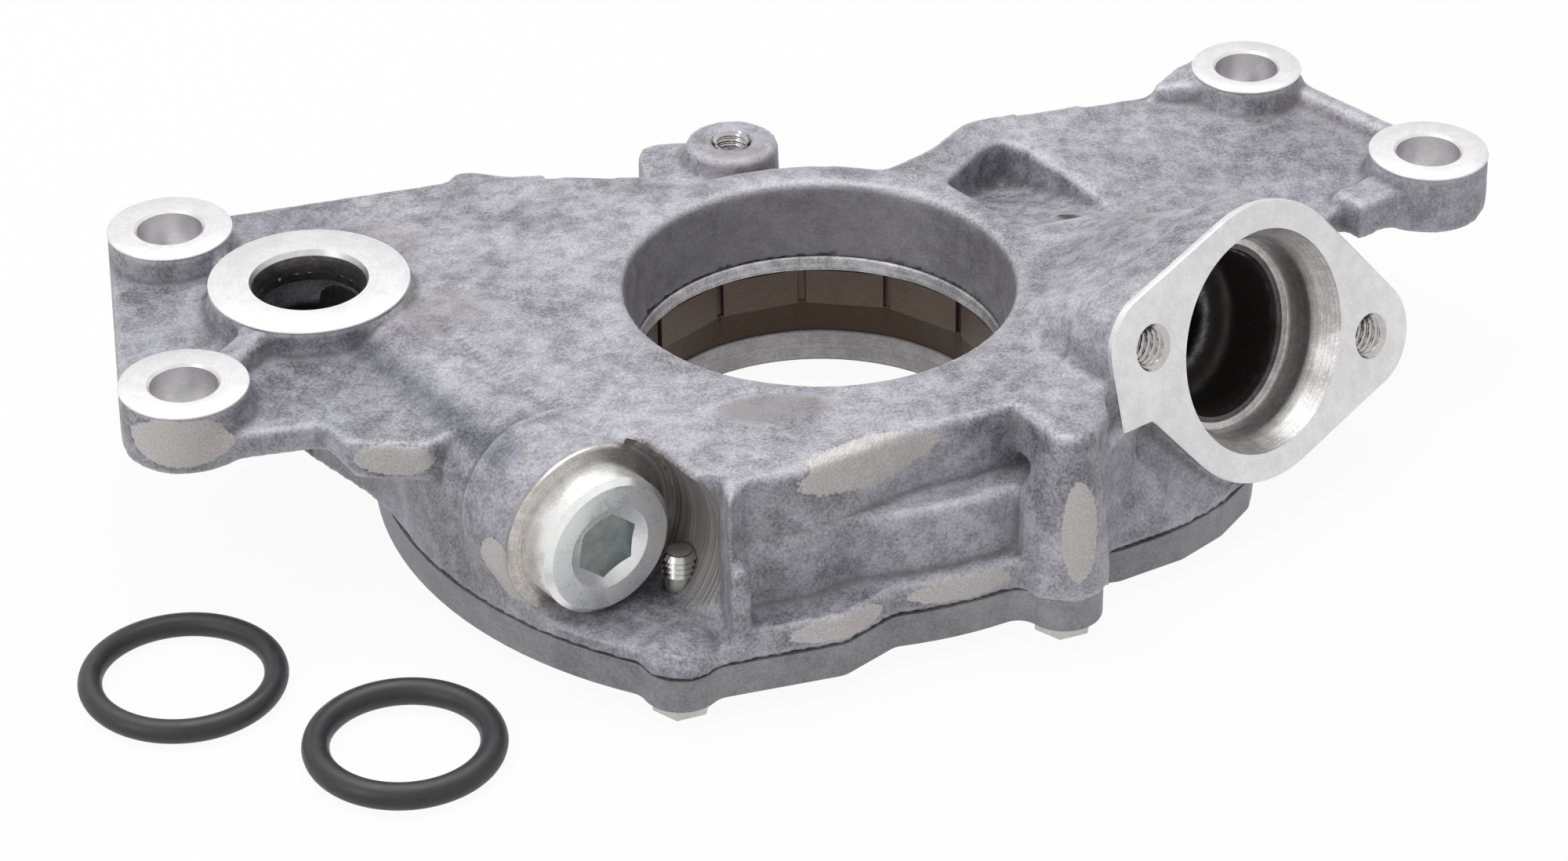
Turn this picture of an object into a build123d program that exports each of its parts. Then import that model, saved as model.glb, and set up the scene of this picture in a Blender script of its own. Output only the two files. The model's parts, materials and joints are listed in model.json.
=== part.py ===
from build123d import *
from math import cos, hypot, pi, radians, sin
import os

# An engine oil pump: a gerotor pump that sits round the nose of a crankshaft.
# The origin is on the crank axis, in the joint between housing and cover.
# +Z points at the engine block, which the four mounting bosses bolt to.
# Every length is in millimetres.

# Heights above the joint
mount_z = 24.5
plateau_drop = 1.0
deck_drop = 4.0
deck_thickness = 4.0
boss_height = 9.3
roof_thickness = 3.7
cover_thickness = 4.8
lip_height = 4.5

plateau_z = mount_z - plateau_drop
deck_z = mount_z - deck_drop
deck_under_z = deck_z - deck_thickness

# Gerotor: the outer rotor has one tooth more than the inner one
inner_teeth = 10
outer_teeth = inner_teeth + 1
eccentricity = 3.0
tooth_radius = 8.0
tooth_circle_radius = 40.2
mesh_clearance = 0.1
rotor_thickness = 10.2
outer_rotor_rim = 4.05
running_clearance = 0.08
root_relief = 0.25

outer_root_radius = tooth_circle_radius - tooth_radius + 2 * eccentricity + root_relief
inner_root_radius = tooth_circle_radius - eccentricity - tooth_radius - mesh_clearance
outer_rotor_radius = outer_root_radius + outer_rotor_rim
pocket_radius = outer_rotor_radius + running_clearance
pocket_depth = rotor_thickness + running_clearance
roof_z = pocket_depth + roof_thickness

# Drive in the inner rotor: thirteen flats, and a round counterbore under them
drive_flats = 13
drive_phase = 3.7
drive_wall = 4.4
drive_apothem = inner_root_radius - drive_wall
drive_groove_width = 1.1
drive_groove_depth = 0.9
drive_counterbore_radius = drive_apothem + 1.1
drive_counterbore_depth = 4.8

# Bore round the crank nose
throat_radius = drive_apothem + 0.25
throat_height = 2.1
throat_wall = 5.8
bore_low_radius = throat_radius + 0.45
bore_top_radius = bore_low_radius + 1.1
cover_bore_radius = drive_apothem + 0.9

# Outline of the joint face
pump_wall = 7.5
front_wall = 4.9
front_pocket_left = -17.3
post_thickness = 2.6
discharge_side_radius = pocket_radius + 18.6
suction_side_radius = pocket_radius + 16.9
outline_blend = 3.0
outline_corner = 3.5
body_shoulder_z = 9.5
body_shoulder_radius = pocket_radius + pump_wall
body_top_radius = pocket_radius + 1.5

# Ports
port_inner_radius = inner_root_radius + 0.9
port_outer_radius = port_inner_radius + 8.0
port_depth = 2.2
cover_port_depth = 1.6
port_half_angle = 72.0
discharge_duct_width = 8.0
suction_duct_radius = 6.5

# Mounting bosses: place, outer radius
bolt_hole_radius = 4.5
boss_draft = 2.0
mount_pitch = 41.0
boss_a = (-85.9, 26.6)
boss_b = (boss_a[0], boss_a[1] - mount_pitch)
boss_d = (70.2, 48.2)
boss_e = (89.6, 19.7)
left_boss_radius = 8.6
boss_d_radius = 7.9
boss_e_radius = 8.4

# Scoop in the right wing
scoop_rim = [(21.8, 24.4), (28.8, 33.0), (31.3, 34.6), (33.8, 32.7), (38.4, 25.5), (42.3, 17.0),
             (43.0, 13.4), (30.8, 9.4), (28.7, 11.6), (25.4, 18.1)]
scoop_floor_z = roof_z + 2.6
scoop_floor_thickness = 3.0
scoop_wall = 2.5

# Discharge ring, which seals against the block
ring_place = (-68.0, 9.4)
ring_radius = 13.65
ring_hole_radius = 7.1
ring_recess_radius = 8.07
ring_recess_depth = 2.4
ring_bore_low_z = 20.3
ring_gallery_radius = 7.4
ring_floor_z = 7.5
ring_floor_thickness = 1.5
gallery_low_z = 0.8

# Relief valve: a barrel along a level axis, from the plug's face inwards
plug_face = (-34.0, -43.8)
relief_height = 12.5
relief_direction = -62.5
barrel_radius = 10.8
collar_radius = 12.0
collar_length = 12.0
plug_head_radius = 9.6
plug_head_length = 5.0
plug_head_clearance = 0.5
plug_face_radius = 8.8
plug_hex_across = 8.0
plug_hex_depth = 5.5
plug_recess_radius = 5.9
plug_thread_radius = 8.0
plug_thread_length = 9.0
relief_bore_radius = 7.5
relief_inlet_radius = 6.3
piston_clearance = 0.03
piston_length = 18.0
piston_wall = 2.4
piston_crown = 3.0
relief_shoulder = 56.0
relief_bore_end = 68.0
barrel_end = 76.0
spring_wire = 1.4
spring_turns = 11
spring_clearance = 0.3
spring_seat_depth = 2.0
spotface_radius = 13.4
spotface_floor_z = 2.6
seam_lip_z = 2.0
thread_clearance = 0.05

# Pick-up flange: a face tilted towards the block
pickup_centre = (57.3, -18.1, 18.8)
pickup_direction = -54.6
pickup_tilt = 14.4
pickup_mouth_radius = 15.3
pickup_seat_radius = 13.4
pickup_seat_start = 3.7
pickup_seat_end = 7.9
pickup_hole_radius = 11.3
pickup_hole_end = 17.0
pickup_duct_end = 30.0
pickup_rim_radius = 19.2
pickup_neck_taper = 11.0
pickup_neck_length = 30.0
ear_place = (20.4, -7.25)
ear_radius = 7.6
ear_length = 13.0
flange_thickness = 8.0
relief_lean = 26.6
relief_foot = 4.3
relief_width = 60.0
flange_thread_radius = 3.0
flange_thread_depth = 12.0

# Cover bolts
# Angle round the rotor pocket, and distance beyond it
cover_bolt_spots = [(-115.5, 18.34), (-120.5, 5.7), (-60.4, 9.19), (5.1, 13.14),
                    (29.4, 12.49), (60.3, 9.82), (92.2, 9.46), (123.7, 9.7),
                    (155.5, 14.03)]
cover_bolt_radius = 2.0
cover_bolt_length = 12.0
short_bolt_length = 6.0
cover_bolt_across = 7.0
cover_bolt_head = 2.8
cover_bolt_boss = 5.2
column_radius = 6.1
column_waist_radius = 5.3
column_top_radius = 2.8
first_boss_z = 2.9
first_boss_top_radius = 4.0
cover_spotface_radius = 4.9
cover_spotface_depth = 0.6
bolt_tip_chamfer = 0.4
bolt_tip_clearance = 0.4

# Small threaded boss behind the bore
sensor_boss = (-6.2, 40.4)
sensor_boss_radius = 6.6
sensor_thread_radius = 2.25
sensor_thread_depth = 12.0

# The two loose seals that lie beside the pump
seal_1_place = (-89.2, -38.0)
seal_1_ring_radius = 12.0
seal_1_section_radius = 1.6
seal_2_place = (-62.2, -57.3)
seal_2_ring_radius = 11.3
seal_2_section_radius = 1.8

floor_z = -cover_thickness + cover_spotface_depth - cover_bolt_head
cover_bolts = [((pocket_radius + beyond) * cos(radians(angle)),
                eccentricity + (pocket_radius + beyond) * sin(radians(angle)))
               for angle, beyond in cover_bolt_spots]
relief_outward = Vector(cos(radians(relief_direction)), sin(radians(relief_direction)), 0)
relief_plane = Plane(origin=(*plug_face, relief_height), z_dir=relief_outward,
                     x_dir=(-relief_outward.Y, relief_outward.X, 0))
pickup_outward = Vector(cos(radians(pickup_tilt)) * cos(radians(pickup_direction)),
                        cos(radians(pickup_tilt)) * sin(radians(pickup_direction)),
                        sin(radians(pickup_tilt)))
pickup_plane = Plane(origin=pickup_centre, z_dir=pickup_outward,
                     x_dir=(-sin(radians(pickup_direction)), cos(radians(pickup_direction)), 0))


def prism(points, low, high):
    """An upright prism over a polygon, between two heights."""
    outline = make_face(Polyline(*points, close=True))
    return Pos(0, 0, low) * extrude(outline, high - low)


def post(place, radius, low, high):
    """An upright cylinder between two heights."""
    return Pos(place[0], place[1], (low + high) / 2) * Cylinder(radius, high - low)


def drafted_post(place, radius, low, high):
    """An upright cylinder of the given radius at its top, wider below by the casting draft."""
    circle = Plane(origin=(place[0], place[1], high)) * Circle(radius)
    return extrude(circle, -(high - low), taper=-boss_draft)


def along(plane, start, end, radius):
    """A cylinder on a plane's axis, between two depths behind the plane."""
    return plane * Pos(0, 0, -(start + end) / 2) * Cylinder(radius, end - start)


def cone_along(plane, start, end, start_radius, end_radius):
    """A cone on a plane's axis, between two depths behind the plane."""
    return plane * Pos(0, 0, -(start + end) / 2) * Cone(end_radius, start_radius, end - start)


def rib(start, end, width, low, high):
    """An upright wall between two places."""
    length = hypot(end[0] - start[0], end[1] - start[1])
    middle = ((start[0] + end[0]) / 2, (start[1] + end[1]) / 2)
    turn = Vector(end[0] - start[0], end[1] - start[1], 0)
    wall = Plane(origin=(*middle, (low + high) / 2), x_dir=turn, z_dir=(0, 0, 1))
    return wall * Box(length, width, high - low)


def joint_outline():
    """The outline that housing and cover share."""
    reach = 2 * discharge_side_radius
    pump = Pos(0, eccentricity) * Circle(pocket_radius + pump_wall)
    left = make_face(Polyline((0, eccentricity), (-0.7 * reach, 0.36 * reach), (-reach, 0),
                              (-0.4 * reach, -reach), (-26.0, -55.4), (-5.0, -52.3), (3.0, -46.6),
                              close=True))
    right = make_face(Polyline((0, eccentricity), (34.0, -37.0), (43.6, -33.1), (50.0, -28.4),
                               (55.7, -21.7), (reach, 0), (reach, 0.2 * reach),
                               (0.5 * reach, 0.5 * reach), close=True))
    outline = pump + (left & Circle(discharge_side_radius)) + (right & Circle(suction_side_radius))
    for place in cover_bolts:
        outline += Pos(*place) * Circle(cover_bolt_boss)
    grown = offset(outline, outline_blend, kind=Kind.ARC)
    shrunk = offset(grown, -outline_blend - outline_corner, kind=Kind.ARC)
    return offset(shrunk, outline_corner, kind=Kind.ARC)


def body():
    """The body round the rotors, whose upper edge at the back slopes inwards."""
    block = extrude(joint_outline(), roof_z)
    height = roof_z - body_shoulder_z
    cone = Pos(0, eccentricity, body_shoulder_z + height / 2) * Cone(
        body_shoulder_radius, body_top_radius, height)
    back = prism([(-50, 26), (50, 26), (50, 90), (-50, 90)], body_shoulder_z, roof_z + 1)
    return block - (back - cone)


def port(middle_angle):
    """The kidney-shaped port on one side of the line of centres."""
    band = Circle(port_outer_radius) - Circle(port_inner_radius)
    reach = 2 * port_outer_radius
    half = radians(port_half_angle)
    middle = radians(middle_angle)
    corners = [(0, 0)]
    for step in (-1, -0.5, 0, 0.5, 1):
        angle = middle + step * half
        corners.append((reach * cos(angle), reach * sin(angle)))
    wedge = make_face(Polyline(*corners, close=True))
    centre = Pos(0, eccentricity / 2)
    return centre * (band & wedge)


def tooth_centre(phase):
    """Where the centre of an outer tooth runs, seen from the inner rotor."""
    x = tooth_circle_radius * cos(phase) - eccentricity * sin(outer_teeth * phase)
    y = tooth_circle_radius * sin(phase) + eccentricity * cos(outer_teeth * phase)
    return x, y


def inner_profile(points_per_tooth=16):
    """The curve that the outer teeth leave on the inner rotor as it turns once."""
    count = inner_teeth * points_per_tooth
    step = 2 * pi / count
    points = []
    for index in range(count):
        phase = index * step
        dx = -tooth_circle_radius * sin(phase)
        dx -= outer_teeth * eccentricity * cos(outer_teeth * phase)
        dy = tooth_circle_radius * cos(phase)
        dy -= outer_teeth * eccentricity * sin(outer_teeth * phase)
        size = hypot(dx, dy)
        x, y = tooth_centre(phase)
        inset = tooth_radius + mesh_clearance
        points.append((x - inset * dy / size, y + inset * dx / size))
    return make_face(Spline(*points, periodic=True))


def inner_rotor():
    """The driven rotor: ten lobes outside, flats for the crank sprocket inside."""
    rotor = extrude(inner_profile(), rotor_thickness)
    land_z = drive_counterbore_depth
    flats = RegularPolygon(drive_apothem, drive_flats, major_radius=False, rotation=drive_phase)
    rotor -= Pos(0, 0, land_z) * extrude(flats, rotor_thickness)
    rotor -= post((0, 0), drive_counterbore_radius, -1, land_z)
    reach = drive_apothem + drive_groove_depth
    for index in range(drive_flats):
        slot = Pos(reach / 2, 0, land_z + rotor_thickness / 2) * Box(
            reach + drive_groove_depth, drive_groove_width, rotor_thickness)
        rotor -= Rot(0, 0, drive_phase + 360 * index / drive_flats) * slot
    return rotor


def outer_rotor():
    """The ring round it: eleven rounded teeth inside."""
    hollow = Circle(outer_root_radius)
    for index in range(outer_teeth):
        turn = 2 * pi * index / outer_teeth
        hollow -= Pos(tooth_circle_radius * cos(turn), tooth_circle_radius * sin(turn)) * Circle(
            tooth_radius)
    ring = Circle(outer_rotor_radius) - hollow
    return Pos(0, eccentricity, 0) * extrude(ring, rotor_thickness)


def plateau_block():
    """The thick middle of the casting, which slopes down to the left deck at the back."""
    front_right = [(30.0, -18.0), (29.0, -34.0), (19.5, -35.4), (14.0, -37.4), (7.0, -39.1)]
    front_left = [(-8.9, -46.8), (-17.1, -47.9), (-19.7, -52.4), (-22.0, -50.9), (-26.5, -43.9)]
    top = [(-55.0, 6.0), (-53.5, 37.0), (-46.0, 40.0), (-31.0, 37.0), (-19.7, 33.0), (0, 20),
           (24.0, 36.0), (45.0, 8.0), *front_right, *front_left, (-44.7, -17.1)]
    slab = prism(top, deck_under_z, plateau_z)
    core = prism(top, 0, plateau_z) & extrude(joint_outline(), plateau_z)
    uphill = Plane(origin=(0, 0, 0), x_dir=(0.77, -0.64, 0), z_dir=(0.64, 0.77, 0))
    slope = uphill * make_face(Polyline((-200, -1), (200, -1), (200, -plateau_z), (-34, -plateau_z),
                                        (-60, -deck_z), (-200, -deck_z), close=True))
    ramp = extrude(slope, 200, both=True)
    return ((slab + core) & ramp) + post((0, 0), bore_top_radius + throat_wall, 0, plateau_z)


def left_wing():
    """The deck that carries bosses A and B and the discharge ring."""
    edge_x = boss_a[0] - left_boss_radius
    deck = [(edge_x, boss_b[1]), (edge_x, boss_a[1]), (edge_x + 2.6, boss_a[1] + 6.1),
            (boss_a[0], boss_a[1] + left_boss_radius), (-47.7, 40.6), (-32.0, 38.5), (-20.0, 33.0),
            (0, 20), (-20, -20), (-51.0, -24.5), (-55.3, -28.5), (-66.0, -26.1), (-68.7, -21.2),
            (boss_b[0] + 4.5, boss_b[1] - 7.9), (boss_b[0], boss_b[1] - left_boss_radius)]
    wing = prism(deck, deck_under_z, deck_z)
    wing += prism([(-66.0, -26.1), (-55.3, -28.5), (-50.0, -22.0), (-62.0, -18.0)], deck_z - 5.8,
                  deck_z)
    wing += rib(boss_b, ring_place, 4.0, deck_z - 1, plateau_z)
    wing += rib(boss_a, ring_place, 3.0, deck_z - 1, deck_z + 2.0)
    wing += prism([(-48, 38), (-45.9, 43.0), (-42.4, 43.3), (-38.1, 41.0), (-32.8, 40.8),
                   (-32, 36)], roof_z, deck_z)
    return wing


def right_wing():
    """The deck that carries bosses D and E, sloping up to the plateau."""
    deck = [(10, 20), (16.5, 29.0), (27.0, 40.6), (29.0, 41.6), (55.0, 48.0), (64.0, 53.6),
            (boss_d[0], boss_d[1] + boss_d_radius), (boss_d[0] + 7.2, boss_d[1] + 3.2),
            (88.6, 32.0), (boss_e[0] + boss_e_radius - 0.4, boss_e[1] + 3), (97.8, 17.0),
            (94.0, 12.4), (84.0, 11.8), (75.3, 12.2), (62.0, 0), (30.0, -20.0), (10, 0)]
    tall = prism(deck, deck_under_z, plateau_z)
    slope = Plane.XZ * make_face(Polyline((0, deck_under_z), (120, deck_under_z), (120, deck_z),
                                          (62, deck_z), (28, plateau_z), (0, plateau_z),
                                          close=True))
    wing = tall & (Pos(0, 100, 0) * extrude(slope, 200))
    wing += rib((boss_d[0] + 4.8, boss_d[1]), (boss_e[0] + 2, boss_e[1] + 4), 3.2, deck_z - 1,
                plateau_z - 0.8)
    wing += prism([(55.4, 46.0), (57.6, 48.8), (60.9, 52.6), (65.3, 54.0), (70.0, 50.0),
                   (65.0, 45.0)], deck_under_z, mount_z - 1.0)
    wing += rib((76.0, 12.0), boss_e, 6.0, deck_under_z, deck_z + 1.6)
    under_scoop = offset(make_face(Polyline(*scoop_rim, close=True)), scoop_wall)
    low = scoop_floor_z - scoop_floor_thickness
    return wing + Pos(0, 0, low) * extrude(under_scoop, deck_under_z + 1 - low)


def bosses():
    """The four mounting bosses and the discharge ring, all faced at the mounting plane."""
    foot = mount_z - boss_height
    parts = post(boss_a, left_boss_radius, foot, mount_z)
    parts += post(boss_b, left_boss_radius, foot, mount_z)
    parts += post(boss_d, boss_d_radius, foot, mount_z)
    parts += post(boss_e, boss_e_radius, foot, mount_z)
    parts += drafted_post(ring_place, ring_radius, ring_floor_z - ring_floor_thickness, mount_z)
    parts += drafted_post(sensor_boss, sensor_boss_radius, roof_z - 2, plateau_z)
    parts += prism([(-19.2, 30.0), (-19.2, 43.9), (-18.3, 46.3), (-16.2, 47.1), (-9.0, 46.6),
                    (-6.0, 30.0)], roof_z - 2, deck_z)
    return parts


def relief_barrel():
    """The barrel of the relief valve with its collar, on a wall down to the joint."""
    seat = plug_head_length
    barrel = along(relief_plane, seat, barrel_end, barrel_radius)
    barrel += along(relief_plane, seat, seat + collar_length, collar_radius)
    depth = relief_height - 0.8
    wall = relief_plane * Pos(2.0, -depth / 2, -(seat + 9 + barrel_end - 4) / 2) * Box(
        2 * barrel_radius - 4, depth, barrel_end - 4 - seat - 9)
    shoulder = relief_plane * Pos(4.0, 4.0, -(seat + 6 + relief_shoulder) / 2) * Box(
        14.0, 12.0, relief_shoulder - seat - 6)
    top = prism([(-120, -120), (60, -120), (60, 120), (-120, 120)], 0, plateau_z)
    gallery = prism([(-72.3, 5.8), (-67.5, -1.5), (-63.6, -7.4), (-60.8, -12.5), (-56.0, -22.0),
                     (-46.0, -22.0), (-54.0, 8.0), (-62.0, 14.0), (-69.0, 13.0)], gallery_low_z,
                    deck_under_z)
    return barrel + wall + (shoulder & top) + gallery


def flange_relief():
    """The wall under the pick-up flange leans back, so that the flange's face stands proud."""
    lean = radians(relief_lean)
    way = Vector(cos(radians(pickup_direction)), sin(radians(pickup_direction)), 0)
    foot = Vector(pickup_centre[0], pickup_centre[1], 0) + relief_foot * way
    outward = cos(lean) * way + Vector(0, 0, sin(lean))
    side = Vector(-way.Y, way.X, 0)
    reach = 4 * pickup_rim_radius
    block = Plane(origin=foot, z_dir=outward, x_dir=side) * Pos(0, 0, reach / 2) * Box(
        relief_width, reach, reach)
    return block & prism([(0, -90), (130, -90), (130, 60), (0, 60)], 0, 4 * mount_z)


def pickup_flange():
    """The tilted flange for the pick-up tube, with its neck."""
    ears = [ear_place, (-ear_place[0], -ear_place[1])]
    outline = Circle(pickup_rim_radius)
    for x, y in ears:
        outline += Pos(x, y) * Circle(ear_radius)
    outline = make_hull(outline.edges())
    neck = extrude(outline, -pickup_neck_length, taper=pickup_neck_taper)
    outline += make_face(Polyline((-28.0, 7.0), (-28.0, -1.9), (-22.8, -2.3), (-16.0, -9.0),
                                  (0, 0), close=True))
    flange = pickup_plane * extrude(outline, -flange_thickness)
    flange += pickup_plane * neck
    for x, y in ears:
        flange += pickup_plane * Pos(x, y, -ear_length / 2) * Cylinder(ear_radius - 0.6, ear_length)
    above = prism([(0, -80), (120, -80), (120, 60), (0, 60)], 0, 4 * mount_z)
    return flange & above


def column():
    """The column over the front right cover bolt, and the tongue that ties it to the plateau."""
    x, y = cover_bolts[2]
    parts = Pos(x, y, roof_z / 2) * Cone(column_radius, column_waist_radius, roof_z)
    upper = plateau_z - roof_z
    parts += Pos(x, y, roof_z + upper / 2) * Cone(column_waist_radius, column_top_radius, upper)
    tongue = prism([(19.5, -35.4), (22.0, -40.6), (26.8, -43.4), (29.2, -43.1), (31.6, -38.5),
                    (32.5, -34.0), (33.0, -22.0), (28.0, -25.0)], deck_under_z, plateau_z)
    web = rib((x + 1, y + 1), (35.0, -30.0), 6.0, 0, deck_under_z + 1)
    return parts + tongue + web


def crank_bore():
    """All that is cut away round the crank axis."""
    throat_top = pocket_depth + throat_height
    cut = Pos(0, 0, (throat_top + plateau_z) / 2) * Cone(bore_low_radius, bore_top_radius,
                                                        plateau_z - throat_top)
    cut += post((0, 0), throat_radius, 0, throat_top)
    cut += post((0, 0), bore_top_radius, plateau_z - 0.001, 2 * mount_z)
    cut += post((0, eccentricity), pocket_radius, -1, pocket_depth)
    return cut


def ports():
    """The kidney ports over the rotors and the ducts that lead from them."""
    roof = Pos(0, 0, pocket_depth - 0.5)
    cut = roof * extrude(port(0) + port(180), port_depth + 0.5)
    duct_start = (-33.0, 18.0)
    duct_end = (ring_place[0] + 2.0, ring_place[1] + 3.6)
    cut += rib(duct_start, duct_end, discharge_duct_width, pocket_depth + 0.5,
               pocket_depth + port_depth + 3.0)
    cut += along(pickup_plane, pickup_seat_end, pickup_hole_end, pickup_hole_radius)
    cut += along(pickup_plane, pickup_hole_end - 1, pickup_duct_end, suction_duct_radius)
    return cut


def front_pocket():
    """The pocket in the front wall, which leaves a lip along the joint."""
    left = front_pocket_left
    edge = [(left, -48.6), (-8.9, -47.4), (7.0, -39.7), (14.0, -38.0), (19.8, -36.0)]
    wall = Pos(0, eccentricity) * Circle(pocket_radius + front_wall)
    outside = make_face(Polyline((left, -80), *edge, (19.8, -80), close=True))
    low = Pos(0, 0, lip_height) * extrude(outside - wall, mount_z)
    return low + Pos(0, 0, roof_z) * extrude(outside, mount_z)


def wing_pocket():
    """The scoop in the right wing, deepest at the back and running out to the front."""
    rim = make_face(Polyline(*scoop_rim, close=True))
    hole = fillet(rim.vertices().sort_by(Axis.Y)[-1], 1.0)
    floor = Plane.YZ * make_face(Polyline((60, scoop_floor_z), (33, scoop_floor_z), (8, plateau_z),
                                          (8, 2 * mount_z), (60, 2 * mount_z), close=True))
    return extrude(hole, 2 * mount_z) & extrude(floor, 100)


def milled_seat():
    """What the spot-facing cutter takes away in front of the plug's seat."""
    seat = plug_head_length
    cut = along(relief_plane, -40, seat, spotface_radius)
    right = front_pocket_left - post_thickness
    shelf = Plane.YZ * make_face(Polyline((20, spotface_floor_z), (-45, spotface_floor_z),
                                          (-56, seam_lip_z), (-90, seam_lip_z), (-90, 60), (20, 60),
                                          close=True))
    above_shelf = Pos(right, 0, 0) * extrude(shelf, -60)
    front = prism([(-42, -90), (right - 0.6, -90), (right, -46), (-36, -46)], 0, 60)
    swell = Pos(*cover_bolts[0], first_boss_z / 2) * Cone(cover_bolt_boss, first_boss_top_radius,
                                                          first_boss_z)
    cut = ((cut + front) & above_shelf) - swell
    return cut + along(relief_plane, -8, seat, plug_head_radius + plug_head_clearance)


def relief_bores():
    """The bores of the relief valve, and the discharge hole they open into."""
    seat = plug_head_length
    thread = plug_thread_radius + thread_clearance
    cut = along(relief_plane, seat - 1, seat + plug_thread_length + 2, thread)
    cut += along(relief_plane, seat, relief_shoulder, relief_bore_radius)
    cut += along(relief_plane, relief_shoulder - 1, relief_bore_end, relief_inlet_radius)
    cut += post(ring_place, ring_hole_radius, ring_bore_low_z, mount_z + 1)
    cut += post(ring_place, ring_gallery_radius, ring_floor_z, ring_bore_low_z)
    cut += Pos(*ring_place, mount_z - ring_recess_depth / 2) * Cone(
        ring_hole_radius, ring_recess_radius, ring_recess_depth)
    return cut


def fixing_holes():
    """Every hole that a bolt goes through or into."""
    cut = post(boss_a, bolt_hole_radius, 0, 2 * mount_z)
    for place in (boss_b, boss_d, boss_e):
        cut += post(place, bolt_hole_radius, 0, 2 * mount_z)
    for place in cover_bolts:
        tip = bolt_length(place) - cover_thickness + cover_spotface_depth
        cut += post(place, cover_bolt_radius + thread_clearance, -1, tip + bolt_tip_clearance)
    cut += post(sensor_boss, sensor_thread_radius, plateau_z - sensor_thread_depth, mount_z)
    for x, y in (ear_place, (-ear_place[0], -ear_place[1])):
        cut += pickup_plane * Pos(x, y, -flange_thread_depth / 2 + 0.5) * Cylinder(
            flange_thread_radius, flange_thread_depth + 1)
    return cut


def pickup_bore():
    """The stepped mouth of the pick-up flange."""
    cut = cone_along(pickup_plane, 0, pickup_seat_start, pickup_mouth_radius, pickup_seat_radius)
    cut += along(pickup_plane, pickup_seat_start - 0.01, pickup_seat_end, pickup_seat_radius)
    return cut


def housing():
    """The main casting."""
    casting = body()
    casting += plateau_block()
    casting += left_wing()
    casting += right_wing()
    casting += bosses()
    casting += relief_barrel()
    casting -= flange_relief()
    casting += pickup_flange()
    casting += column()
    casting -= front_pocket()
    casting -= wing_pocket()
    casting -= milled_seat()
    casting -= crank_bore()
    casting -= ports()
    casting -= pickup_bore()
    casting -= relief_bores()
    casting -= fixing_holes()
    return casting


def cover():
    """The plate that closes the pump on the front of the engine."""
    plate = Pos(0, 0, -cover_thickness) * extrude(joint_outline(), cover_thickness)
    plate -= post((0, 0), cover_bore_radius, -2 * cover_thickness, 1)
    plate -= Pos(0, 0, -cover_port_depth) * extrude(port(0) + port(180), cover_port_depth + 1)
    for place in cover_bolts:
        plate -= post(place, cover_bolt_radius + thread_clearance, -2 * cover_thickness, 1)
        plate -= post(place, cover_spotface_radius, -2 * cover_thickness,
                      -cover_thickness + cover_spotface_depth)
    return plate


def bolt_length(place):
    """The first bolt is short, since the housing is low under the relief plug."""
    return short_bolt_length if place == cover_bolts[0] else cover_bolt_length


def cover_bolt(place):
    """A hexagon bolt that holds the cover, with its tip in the housing."""
    seat_z = -cover_thickness + cover_spotface_depth
    head = Pos(*place, seat_z - cover_bolt_head) * extrude(
        RegularPolygon(cover_bolt_across / 2, 6, major_radius=False, rotation=13), cover_bolt_head)
    shank = post(place, cover_bolt_radius, seat_z, seat_z + bolt_length(place))
    shank = chamfer(shank.edges().group_by(Axis.Z)[-1], bolt_tip_chamfer)
    return head + shank


def relief_plug():
    """The plug that closes the relief bore and backs the spring."""
    seat = plug_head_length
    edge = plug_head_radius - plug_face_radius
    plug = along(relief_plane, edge, seat, plug_head_radius)
    plug += cone_along(relief_plane, 0, edge, plug_face_radius, plug_head_radius)
    end = seat + plug_thread_length
    plug += along(relief_plane, seat, end, plug_thread_radius)
    plug -= cone_along(relief_plane, -0.01, 0.8, plug_recess_radius, plug_hex_across / 2)
    hexagon = RegularPolygon(plug_hex_across / 2, 6, major_radius=False, rotation=20)
    plug -= relief_plane * extrude(hexagon, -plug_hex_depth)
    plug -= along(relief_plane, end - spring_seat_depth, end + 1, spring_outer_radius() + 0.4)
    return plug


def spring_outer_radius():
    """The spring fills the piston's hollow but for a clearance."""
    return relief_bore_radius - piston_clearance - piston_wall - spring_clearance


def piston_crown_inside():
    """The depth at which the spring bears on the piston, at rest."""
    return relief_shoulder - piston_crown


def relief_piston():
    """The cup-shaped piston, shut against the shoulder of its bore at rest."""
    radius = relief_bore_radius - piston_clearance
    start = relief_shoulder - piston_length
    piston = along(relief_plane, start, relief_shoulder, radius)
    return piston - along(relief_plane, start - 1, piston_crown_inside(), radius - piston_wall)


def relief_spring():
    """The coil spring between plug and piston."""
    start = plug_head_length + plug_thread_length - spring_seat_depth
    length = piston_crown_inside() - start - spring_wire
    coil_radius = spring_outer_radius() - spring_wire / 2
    path = Helix(length / spring_turns, length, coil_radius)
    start_point = path @ 0
    section = Plane(origin=start_point, z_dir=path % 0) * Circle(spring_wire / 2)
    coil = sweep(section, path)
    middle = Pos(0, 0, -(start + spring_wire / 2 + length))
    return relief_plane * middle * coil


def loose_seal(place, seal_radius, section_radius):
    """A rubber ring that lies on the floor beside the pump."""
    return Pos(place[0], place[1], floor_z + section_radius) * Torus(seal_radius, section_radius)


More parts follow.
